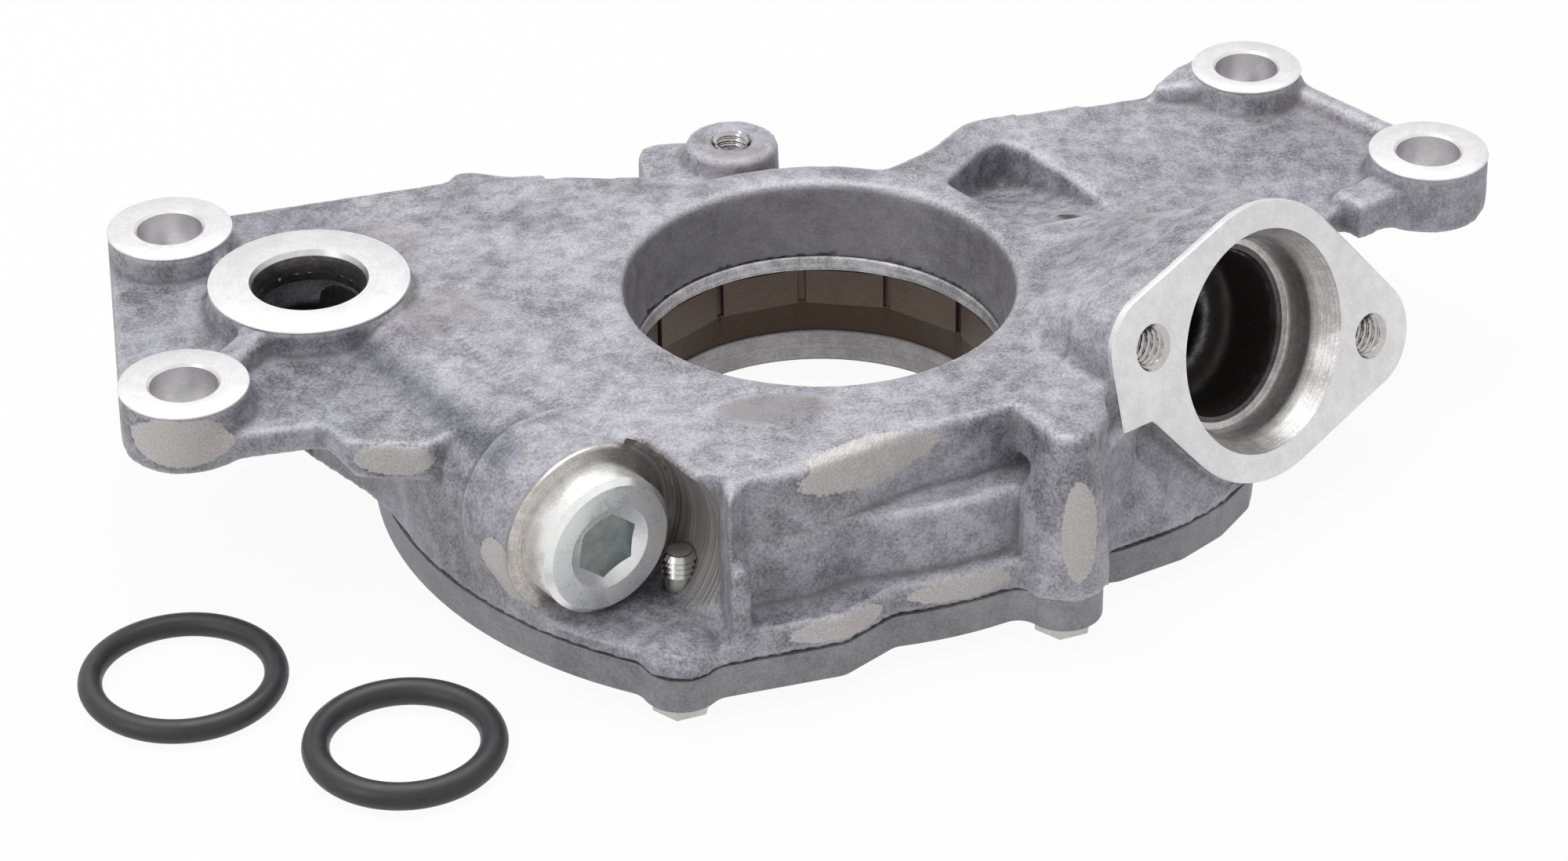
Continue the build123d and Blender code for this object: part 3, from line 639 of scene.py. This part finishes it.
def in_frame(points, at, axes):
    """Coordinates of points along a piece's own three directions."""
    return (points - np.asarray(at, float)) @ axes.T


def off_axis(local):
    """How far points lie from the axis, in a piece's own coordinates."""
    return np.hypot(local[:, 0], local[:, 1])


def smoothstep(value, low, high):
    """Zero below low, one above high, and a smooth rise between."""
    t = np.clip((value - low) / (high - low), 0.0, 1.0)
    return t * t * (3 - 2 * t)


near_plug = in_frame(raw, RELIEF_AT, RELIEF)
crisp = smoothstep(off_axis(near_plug), 14.5, 17.0) + smoothstep(-near_plug[:, 2], 5.5, 8.0)
pace = (0.12 + 0.38 * np.clip(crisp, 0, 1))[:, None]
relaxed = raw.copy()
for _ in range(4):
    relaxed += pace * (neighbour_mean(relaxed) - relaxed)
moved = raw - relaxed
print("largest move", np.linalg.norm(moved, axis=1).max().round(2), "mm")

# %% [markdown]
# The machined faces come as crisp pieces of their own, so the skin steps back a quarter of a
# millimetre under them, and it keeps clear of the rotors and the relief piston.

# %% Make room for machined faces and moving pieces


def push_out(points, at, axes, radius, low, high, reach):
    """Points less than a reach inside a round hole move out to its radius."""
    local = in_frame(points, at, axes)
    distance = off_axis(local)
    inside = (distance < radius) & (distance > radius - reach) & (local[:, 2] > low) & (
        local[:, 2] < high)
    scale = np.where(inside, radius / np.maximum(distance, 1e-6), 1.0)[:, None]
    flat = local * np.array([1, 1, 0])
    return points + ((scale - 1) * flat) @ axes


# Each hole: its place and directions, its radius, the heights it lies between, the reach.
HOLES = [((x, y, 0), UPRIGHT, 4.85, 10, 26, 1.2) for x, y, _ in BOSSES.values()]
HOLES += [((*RING[:2], 0), UPRIGHT, 8.5, 21.8, 26, 2.0),
          (SENSOR_AT, UPRIGHT, 2.75, 10, 26, 1.2),
          ((0, 0, 0), UPRIGHT, 25.9, 9, 12.7, 1.6),
          (PICKUP_AT, PICKUP, 15.9, -4.0, 1.0, 2.6),
          (PICKUP_AT, PICKUP, 13.8, -8.4, -3.0, 2.6)]
HOLES += [(at, PICKUP, 3.5, -13, 1, 1.2) for at in EAR_AT]
HOLES += [(RELIEF_AT, RELIEF, 8.5, -16.0, -4.5, 2.0),
          (RELIEF_AT, RELIEF, 7.95, -57.5, -15.0, 1.6)]
boss_step, flange_step, roof_z, joint_step = 0.25, 0.3, 10.75, 0.12
points = relaxed.copy()
points[:, 2] -= boss_step * smoothstep(points[:, 2], MOUNT_Z - 0.5, MOUNT_Z - 0.2)
depth = in_frame(points, PICKUP_AT, PICKUP)
on_flange = (depth[:, 2] > -0.45) & (off_axis(depth) < 32)
points -= np.where(on_flange, flange_step, 0.0)[:, None] * PICKUP[2]
for hole in HOLES:
    points = push_out(points, *hole)
pocket = np.hypot(points[:, 0], points[:, 1] - POCKET_Y)
low_pocket = (pocket < POCKET_RADIUS) & (points[:, 2] < roof_z - 0.15) & (points[:, 2] > -2)
wall = low_pocket & (pocket > POCKET_RADIUS - 1.2)
out = np.where(wall, POCKET_RADIUS / pocket, 1.0)
points[:, 0] *= out
points[:, 1] = POCKET_Y + (points[:, 1] - POCKET_Y) * out
roof = low_pocket & (points[:, 2] > roof_z - 1.35) & ~wall
points[roof, 2] = roof_z
near_joint = (points[:, 2] < 0.25) & (points[:, 2] > -0.6)
points[:, 2] = np.where(near_joint, joint_step, points[:, 2])

# %% [markdown]
# The masks. Edge and corner come from how far a point moved along its own normal, and corner
# holds painted shade with dirt. Belt patches and stains are placed where the photograph shows
# them: each is a ball with a soft rim, and a belt patch also needs the surface to face the right
# way. The painted shade on the bore's wall, the near-black painted shade in deep holes, the
# painted shade on the relief barrel's flank with the darker decks, and the milled wall round
# the plug, whose cutter arcs are painted dark as shade, come from a point's distance to an axis
# and its height. Feed_out and feed_along are no masks: they carry the plug's own coordinates to
# the cutter's arcs.

# %% Masks on the skin
rebuilt.vertices.foreach_set("co", (points * MM).astype(np.float32).ravel())
rebuilt.update()
normals = read(rebuilt.vertices, "normal").astype(float)
bend = np.einsum("ij,ij->i", moved, normals)


def ball(at, size):
    """One inside an ellipsoid, falling to zero at its rim."""
    return 1 - smoothstep(np.linalg.norm((points - np.array(at)) / np.array(size), axis=1), 0.6, 1)


# Each patch: its middle, its three half sizes, and the way that the surface faces.
BELT = [((2, -43.5, 21), (21, 7, 4.5), (0.05, -0.75, 0.65)),
        ((-4, -51.5, 2.6), (13, 4.5, 2.4), (0.1, -1, 0.1)),
        ((12, -46, 2.6), (11, 4, 2.2), (0.2, -1, 0.1)),
        ((26.5, -47.8, 11), (3.2, 4, 10), (0.25, -1, 0)),
        ((34, -17, 15), (2.5, 3, 2.5), (-0.8, -0.5, 0.1)),
        ((-87, -22, 20.4), (9.0, 8, 4.6), (-0.3, -0.95, 0)),
        ((-60.0, -27.5, 18.2), (7.0, 4, 3.2), (-0.25, -0.95, 0)),
        ((-51.5, -28.5, 12.5), (2.6, 3, 2.0), (-0.8, -0.45, 0)),
        ((-47, -41, 9), (5, 6, 7), (-0.75, -0.6, -0.1))]
belt = np.max([ball(at, size) * smoothstep(normals @ unit(way), 0.5, 0.8)
               for at, size, way in BELT], axis=0)
# Each stain: its middle, its three half sizes, and how strong it is.
STAINS = [((-11, -31.5, 23.5), (9, 4.2, 3), 0.75), ((48, 2, 24), (5, 4, 4), 0.6),
          ((-60, 24, 20.5), (12, 8, 3), 0.30), ((-52, 0, 21), (14, 9, 4), 0.35),
          ((-6, 34, 23), (8, 6, 3), 0.45), ((80, 38, 20), (16, 10, 3), 0.2)]
stain = np.max([ball(at, size) * amount for at, size, amount in STAINS], axis=0)
x, y, z = points.T
reach = np.hypot(x, y)
inwards = -np.einsum("ij,ij->i", normals[:, :2], points[:, :2]) / np.maximum(reach, 1)
# Painted shade on the inner wall of the crank bore.
bore = (reach < 27.6) * (z > 11) * (z < 23.2) * smoothstep(inwards, 0.5, 0.9)
# Near-black painted shade deep in the pick-up duct and in the discharge ring's hole.
duct = in_frame(points, PICKUP_AT, PICKUP)
in_duct = (off_axis(duct) < 12.6) & (duct[:, 2] < -7.4) & (duct[:, 2] > -60) & (reach > 30)
in_ring = (np.hypot(x - RING[0], y - RING[1]) < 8.2) & (z < 17)
# Darker left and right decks, in the same mask as the flank's painted shade below.
deck = 0.4 * smoothstep(-x, 56, 66) + 0.25 * smoothstep(x, 38, 55)
deck *= (z > DECK_Z - 1.0) * (z < DECK_Z + 0.7)
plug = in_frame(points, RELIEF_AT, RELIEF)
plug_out, plug_along = off_axis(plug), plug[:, 2]
# Painted shade along the relief barrel's flank.
flank = np.exp(-((plug[:, 0] + 6.6) / 2.3) ** 2) * smoothstep(z, DECK_Z - 1.0, DECK_Z - 0.3)
flank *= smoothstep(-plug_along, 9, 13) * (1 - smoothstep(-plug_along, 48, 52))
# The milled wall round the plug, whose cutter arcs are painted dark as shade.
cut = (1 - smoothstep(plug_out, 13.6, 14.4)) * smoothstep(plug_along, -6.4, -5.6)
cut *= (1 - smoothstep(plug_along, 6.5, 8.5)) * smoothstep(z, 2.6, 3.8)
MASKS = dict(zip(MASK_NAMES, (
    smoothstep(bend, 0.04, 0.30), smoothstep(-bend, 0.04, 0.32), belt, stain, bore, cut,
    plug_out, plug_along, (in_duct | in_ring).astype(float), np.maximum(flank, deck))))
for key, mask in MASKS.items():
    rebuilt.attributes.new(key, "FLOAT", "POINT").data.foreach_set("value",
                                                                  mask.astype(np.float32))
    print("mask", key, "covers", (mask > 0.5).mean().round(3))
rebuilt.polygons.foreach_set("use_smooth", np.full(len(rebuilt.polygons), True))
rebuilt.update()
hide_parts("housing")
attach(skin, "body")

# %% [markdown]
# ## Machined faces
# The block side of each boss is milled flat and its hole drilled and chamfered. One turned
# profile makes a boss: up the hole, over the chamfer, across the face and a little way down
# the outside. The discharge ring is the same with a cone inside. The lip of the throat and
# the cover's bored wall are turned as well.

# %% Bosses, discharge ring and the bore's lip


def boss_profile(outer, inner, top, down, chamfer):
    """Up a hole, over its chamfer, across the face and round the outer edge."""
    return [(inner, top - down), (inner, top - chamfer), (inner + chamfer, top),
            (outer - 0.25, top), (outer - 0.06, top - 0.07), (outer + 0.02, top - 0.28),
            (outer - 0.5, top - 0.9)]


for key, (x, y, radius) in BOSSES.items():
    lathe(f"boss_{key}_face", boss_profile(radius, 4.5, MOUNT_Z, 9.0, 0.35), (x, y, 0),
                  UPRIGHT, "body", FACED)
bore_radius = COVER_BORE_RADIUS - 0.03
x, y, radius = RING
lathe("discharge_ring_face",
              [(7.75, MOUNT_Z - 0.8), (8.07, MOUNT_Z)]
              + boss_profile(radius, 8.3, MOUNT_Z, 0.3, 0.15)[2:], (x, y, 0), UPRIGHT,
              "body", FACED)
# The discharge bore is near-black: painted shade.
lathe("discharge_bore", [(7.4, 8.0), (7.4, 20.3), (7.1, 20.3), (7.1, MOUNT_Z - 2.4),
                                 (7.75, MOUNT_Z - 0.8)], (x, y, 0), UPRIGHT, "body", SHADED_BORE)
lathe("throat_lip", [(25.9, 12.2), (25.55, 12.38), (25.2, 12.38), (24.95, 12.1),
                             (24.95, 10.35), (25.3, 10.32)], (0, 0, 0), UPRIGHT, "body", LIP,
              steps=240)
lathe("cover_bore", [(bore_radius, -4.6), (bore_radius, -0.2)], (0, 0, 0), UPRIGHT,
              "body", COVER_BORE, steps=240)

# %% [markdown]
# ## The pick-up flange's face
# The face is a flat plate whose outline is the hull of a circle and two ears, with a square
# corner at the lower left. The surface runs between that outline and the mouth: one grid, in
# which row zero is the outline, and the last row the mouth. The ear holes are cut into it by
# a boolean with short posts. The cups that the posts leave below the face are deleted, since
# they would hide the threads.

# %% Flange outline and face


def hull_outline():
    """For each direction, the farthest point of circle and ears: their hull by support lines.

    The hull's support in direction a is max over circles of (centre . a + radius), and the
    point is that circle's own point in direction a. Between two circles the outline is
    straight, so the loop is filled in by distance along it.
    """
    steps, circle_radius, ear_radius = 720, 19.2, 7.6
    angle = np.linspace(0, 2 * np.pi, steps)
    way = np.stack([np.cos(angle), np.sin(angle)], axis=1)
    circles = np.array([(0, 0, circle_radius)] + [(x, y, ear_radius) for x, y in EARS])
    support = way @ circles[:, :2].T + circles[:, 2]
    best = support.argmax(axis=1)
    loop = circles[best, :2] + circles[best, 2:] * way
    run = np.append(0, np.cumsum(np.linalg.norm(np.diff(loop, axis=0), axis=1)))
    even = np.linspace(0, run[-1], 4 * steps, endpoint=False)
    return np.stack([np.interp(even, run, loop[:, k]) for k in range(2)], axis=1)


def reach_of_edge(way, start, end):
    """How far along each direction a straight edge is met: start x run over way x run."""
    run = end - start
    bottom = way[:, 0] * run[1] - way[:, 1] * run[0]
    far = (start[0] * run[1] - start[1] * run[0]) / np.where(bottom == 0, np.inf, bottom)
    met = way * far[:, None]
    within = ((met - start) @ run >= -1e-9) & ((met - end) @ run <= 1e-9) & (far > 0)
    return np.where(within, far, 0.0)


hull = hull_outline()
hull_angle = np.arctan2(hull[:, 1], hull[:, 0])
corner = np.array([(-28.0, 7.0), (-28.0, -1.9), (-22.8, -2.3), (-16.0, -9.0)])
angle = np.sort(np.append(np.linspace(-np.pi, np.pi, 480, endpoint=False),
                          np.arctan2(corner[:, 1], corner[:, 0])))
way = np.stack([np.cos(angle), np.sin(angle)], axis=1)
reach = np.interp(angle, hull_angle, np.hypot(hull[:, 0], hull[:, 1]), period=2 * np.pi)
for start, end in zip(corner, corner[1:]):
    reach = np.maximum(reach, reach_of_edge(way, start, end))
loop = way * reach[:, None]
side, edge_width, mouth_radius = 0.9, 0.22, 15.3
inward = way * (reach - edge_width)[:, None]
mouth = way * mouth_radius
print("flange outline points", len(loop), "width", np.ptp(loop[:, 0]).round(1))
rows = [np.c_[flat, np.full(len(loop), level)] for flat, level in (
    (loop, -side), (loop, -edge_width), (inward, 0.0), (mouth, 0.0))]
grid = np.stack(rows)
plate = put_mesh("flange_face", (PICKUP_AT + grid @ PICKUP).reshape(-1, 3),
                 grid_faces(len(rows), len(loop), True), "body", FACED)
for index, at in enumerate(EAR_AT):
    post = lathe(f"ear_cutter_{index}", [(0.001, -3), (3.2, -3), (3.2, 3), (0.001, 3)],
                 at, PICKUP, "body", FACED, 48)
    hole = plate.modifiers.new("hole", "BOOLEAN")
    hole.object = post
    hole.operation = "DIFFERENCE"
    hole.solver = "FAST"
drilled = apply_modifiers(plate)
work = bmesh.new()
work.from_mesh(drilled)
outwards, below_sides = Vector(PICKUP[2]), -side - 0.05
sunk = [face for face in work.faces
        if (face.calc_center_median() / MM - Vector(PICKUP_AT)).dot(outwards) < below_sides]
bmesh.ops.delete(work, geom=sunk, context="FACES")
work.to_mesh(drilled)
work.free()
for index in range(len(EAR_AT)):
    bpy.data.objects.remove(bpy.data.objects[f"ear_cutter_{index}"])
print("flange face", len(drilled.polygons), "faces")

# %% [markdown]
# The mouth is turned: a shallow cone, a seat for the rubber ring, a shoulder and a bore.

# %% Flange bore
lathe("flange_bore", [(15.3, 0.0), (14.9, -0.9), (14.2, -2.2), (13.5, -3.6), (13.4, -4.2),
                              (13.4, -7.3), (13.1, -7.8), (12.2, -7.95)], PICKUP_AT, PICKUP,
              "body", TURNED, steps=240)
# The duct beyond the seat is near-black: painted shade.
lathe("flange_duct", [(12.2, -7.95), (11.5, -8.1), (11.3, -8.5), (11.3, -16.5)],
              PICKUP_AT, PICKUP, "body", SHADED_BORE, steps=240)

# %% [markdown]
# ## Threads
# A thread is a surface of two parameters, the angle and the height. Its radius is a zigzag of
# height over pitch minus angle over a turn, so that the crest climbs one pitch per turn.

# %% Threads in the flange and the small boss


def thread(name, at, axes, major, minor, pitch, top, bottom, chamfer):
    """A threaded hole: chamfer at the mouth, then crests and roots down to the bottom."""
    turns, per_turn = 56, 10
    angle = np.linspace(0, 2 * np.pi, turns, endpoint=False)
    height = np.linspace(top - chamfer, bottom, int((top - bottom) / pitch * per_turn))
    phase = height[:, None] / pitch - angle[None, :] / (2 * np.pi)
    zigzag = np.abs(2 * (phase - np.floor(phase)) - 1)
    radius = minor + (major - minor) * np.clip(1.25 * zigzag - 0.125, 0, 1)
    ramp = np.linspace(1, 0, 4)[:-1, None]
    mouth_r = radius[:1] * (1 - ramp) + (major + chamfer * 0.4) * ramp
    mouth_h = np.broadcast_to(top - chamfer * (1 - ramp), mouth_r.shape)
    radius = np.concatenate([mouth_r, radius])
    level = np.concatenate([mouth_h, np.broadcast_to(height[:, None], (len(height), turns))])
    local = np.stack([radius * np.cos(angle), radius * np.sin(angle), level], axis=-1)
    points = np.asarray(at, float) + local @ axes
    return put_mesh(name, points.reshape(-1, 3), grid_faces(len(local), turns, True),
                            "body", THREAD, sharp=60)


for index, at in enumerate(EAR_AT):
    thread(f"flange_thread_{index + 1}", at, PICKUP, 3.0, 2.45, 1.0, 0.0, -11.5, 0.5)
thread("sensor_thread", SENSOR_AT, UPRIGHT, 2.5, 2.1, 0.8, PLATEAU_Z, 12.0, 0.3)

# %% [markdown]
# The tip of one cover bolt stands up in the milled pocket beside the plug, and its thread
# catches the light. The zigzag is a lathe's profile here: so short a thread shows no slope.

# %% Tip of the second cover bolt
low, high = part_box("cover_bolt_2")
tip_x, tip_y, tip_z = (low.x + high.x) / 2 / MM, (low.y + high.y) / 2 / MM, high.z / MM
print("bolt tip", round(tip_x, 2), round(tip_y, 2), round(tip_z, 2))
steps = np.arange(0, 8)
bands = np.stack([np.where(steps % 2 == 0, 2.06, 2.42), tip_z - 0.35 - 0.4 * steps], axis=1)
lathe("bolt_tip_thread", np.concatenate([[(1.2, tip_z - 0.9), (1.25, tip_z - 0.04),
                                                  (1.9, tip_z - 0.04)], bands]),
              (tip_x, tip_y, 0), UPRIGHT, "body", THREAD, 64)

# %% [markdown]
# ## The face round the relief plug
# The cutter that made the plug's seat left a bright ring. Left and above, it ends at the
# collar's edge. To the lower right it runs on into the milled pocket, so there a second
# profile, over part of a turn only, makes the ring wider.

# %% Spot face
lathe("spot_face", [(7.9, -5.6), (7.9, -4.97), (11.6, -4.97), (11.95, -5.15),
                            (12.0, -5.6)], RELIEF_AT, RELIEF, "body", SPOT)
lathe("spot_face_wide", [(11.3, -5.0), (13.0, -5.0), (13.25, -4.8)], RELIEF_AT, RELIEF,
              "body", SPOT, steps=80, span=(-55, 62))

# %% [markdown]
# ## Cover, rotors, plug and bolts
# These keep their CAD shape. Their meshes are copied, joined up and given a small bevel, since
# a plated or sintered edge is never knife sharp. The copy stands for the CAD node. The spring
# keeps its CAD mesh and only gets a material.

# %% Bevelled copies of CAD nodes


def softened(node, width, material, body="body", angle=32, socket=None):
    """A joined-up copy of a CAD node with bevelled edges, in its place.

    A socket is a round region with materials of its own: one for its walls, one for its
    bottom, then its place, its directions and its radius.
    """
    mesh = joined_copy(node, flat=0.6)
    mesh.materials.clear()
    mesh.materials.append(material)
    mesh.polygons.foreach_set("use_smooth", np.full(len(mesh.polygons), True))
    mesh.set_sharp_from_angle(angle=np.radians(angle))
    if socket is not None:
        walls, bottom, at, axes, radius = socket
        mesh.materials.append(walls)
        mesh.materials.append(bottom)
        spot = in_frame(read(mesh.polygons, "center") / MM, at, axes)
        rim_depth = 1.0
        deep = (off_axis(spot) < radius) & (spot[:, 2] < -rim_depth)
        level = np.abs(read(mesh.polygons, "normal") @ axes[2]) > 0.6
        mesh.polygons.foreach_set("material_index", (deep * (1 + level)).astype(np.int32))
    piece = bpy.data.objects.new(f"{node}_finished", mesh)
    bpy.context.scene.collection.objects.link(piece)
    bevel = piece.modifiers.new("edges", "BEVEL")
    bevel.width = width * MM
    bevel.segments = 2
    bevel.limit_method = "ANGLE"
    bevel.angle_limit = np.radians(angle)
    bevel.harden_normals = True
    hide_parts(node)
    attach(piece, body)
    print(piece.name, "faces", len(mesh.polygons))
    return piece


softened("cover", 0.5, COVER)
softened("inner_rotor", 0.12, SINTERED, "drive_rotor")
softened("outer_rotor", 0.12, SINTERED, "driven_rotor")
# The plug's socket gets a painted bluish sheen on its walls and painted shade on its bottom.
softened("relief_plug", 0.14, PLATED, angle=16,
         socket=(SOCKET, SOCKET_FLOOR, RELIEF_AT, RELIEF, 6.2))
softened("relief_piston", 0.2, GROUND, "piston")
for node in sorted(nodes):
    if node.startswith("cover_bolt"):
        softened(node, 0.18, BOLT_PLATE)
nodes["relief_spring"].data.materials.clear()
nodes["relief_spring"].data.materials.append(GROUND)

# %% [markdown]
# ## The two rubber rings
# A moulded ring is a torus with a faint line where the mould's halves met. Its surface is
# (R + r cos b) round the axis and r sin b up, with r a hair larger at half the height.

# %% Rubber rings
# Each ring: its place in x and y, the radius of its middle line, and its section's radius.
SEALS = {"pickup_seal_1": (-89.2, -38.0, 12.0, 1.6), "pickup_seal_2": (-62.2, -57.3, 11.3, 1.8)}
around_steps, section_steps = 200, 48
for node, (x, y, ring, section) in SEALS.items():
    a = np.linspace(0, 2 * np.pi, around_steps, endpoint=False)[None, :]
    b = np.linspace(0, 2 * np.pi, section_steps + 1)[:, None]
    swell = section * (1 - 0.012 + 0.012 * np.exp(-((np.sin(b) / 0.12) ** 2)))
    around = ring + swell * np.cos(b)
    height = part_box(node)[0].z / MM + section + swell * np.sin(b) + 0 * a
    grid = np.stack([x + around * np.cos(a), y + around * np.sin(a), height], axis=-1)
    faces = grid_faces(section_steps + 1, around_steps, True) % (section_steps * around_steps)
    piece = put_mesh(f"{node}_rubber", grid[:-1].reshape(-1, 3), faces, "body", RUBBER)
    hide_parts(node)

# %% [markdown]
# ## Camera, floor and light
# The camera's place, tilt and lens were worked out from the photograph: circles of known size
# on known planes fix them. The light is a large soft panel overhead with a weaker one from
# the front left, and the surroundings are white to the camera and to reflections.

# %% Camera
heading, pitch, roll = np.array([0.1461, 0.9893, 0.0]), np.radians(32.28), np.radians(0.50)
right = np.array([heading[1], -heading[0], 0.0])
forward = np.cos(pitch) * unit(heading) - np.sin(pitch) * np.array([0, 0, 1])
up = np.cross(right, forward)
across = np.cos(roll) * right - np.sin(roll) * up
above = np.cos(roll) * up + np.sin(roll) * right
pose = Matrix(np.column_stack([across, above, -forward]).tolist()).to_4x4()
pose.translation = Vector((-86.92, -554.68, 354.07)) * MM
camera = bpy.data.objects.new("camera", bpy.data.cameras.new("camera"))
camera.data.lens = 111.04
camera.data.sensor_width = 36.0
camera.data.clip_start = 0.01
camera.matrix_world = pose
bpy.context.scene.collection.objects.link(camera)
bpy.context.scene.camera = camera
print("camera at", [round(v, 3) for v in camera.location])

# %% Floor and surroundings


def seen_directly(tree):
    """One for rays from the camera, from mirrors and through glass, zero for the rest."""
    path = add(tree, "ShaderNodeLightPath", (-900, 0))
    one = math(tree, "MAXIMUM", path.outputs["Is Camera Ray"], path.outputs["Is Glossy Ray"],
               (-700, 0))
    return math(tree, "MAXIMUM", one, path.outputs["Is Transmission Ray"], (-540, 0))


size = 1500.0
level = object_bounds()[0][2] / MM - 0.02
corners = [(-size, -size, level), (size, -size, level), (size, size, level), (-size, size, level)]
white, floor_tree, matt = new_material("floor_white", 0.0, 0.9)
matt.inputs["Base Color"].default_value = (0.86, 0.86, 0.86, 1)
floor = put_mesh("floor", np.array(corners), np.array([[0, 1, 2, 3]]), "body", white, False)
glow = add(floor_tree, "ShaderNodeEmission", (0, -200), Strength=1.0)
blend = add(floor_tree, "ShaderNodeMixShader", (300, 0))
floor_tree.links.new(math(floor_tree, "MULTIPLY", seen_directly(floor_tree), 0.94, (-300, 0)),
                     blend.inputs[0])
floor_tree.links.new(matt.outputs[0], blend.inputs[1])
floor_tree.links.new(glow.outputs[0], blend.inputs[2])
floor_tree.links.new(blend.outputs[0], floor_tree.nodes["Material Output"].inputs["Surface"])

world = bpy.data.worlds.new("studio")
bpy.context.scene.world = world
world.use_nodes = True
sky = world.node_tree
background = sky.nodes["Background"]
background.inputs["Color"].default_value = (1, 1, 1, 1)
strength = map_range(sky, seen_directly(sky), 0.0, 1.0, (-300, 0), 0.30, 1.0)
sky.links.new(strength, background.inputs["Strength"])

# %% Soft panels


def panel(name, at, target, width, height, power):
    """A rectangular soft light that looks at a target, all in metres and watts."""
    lamp = bpy.data.lights.new(name, "AREA")
    lamp.shape = "RECTANGLE"
    lamp.size, lamp.size_y, lamp.energy = width, height, power
    item = bpy.data.objects.new(name, lamp)
    item.location = at
    item.rotation_euler = (Vector(target) - Vector(at)).to_track_quat("-Z", "Y").to_euler()
    bpy.context.scene.collection.objects.link(item)
    return item


panel("overhead", (-0.05, 0.25, 0.95), (0, 0, 0), 1.0, 0.8, 8.2)
panel("front_left", (-0.85, -0.55, 0.55), (0, 0, 0), 0.5, 0.6, 2.4)
bpy.context.scene.view_settings.view_transform = "Standard"
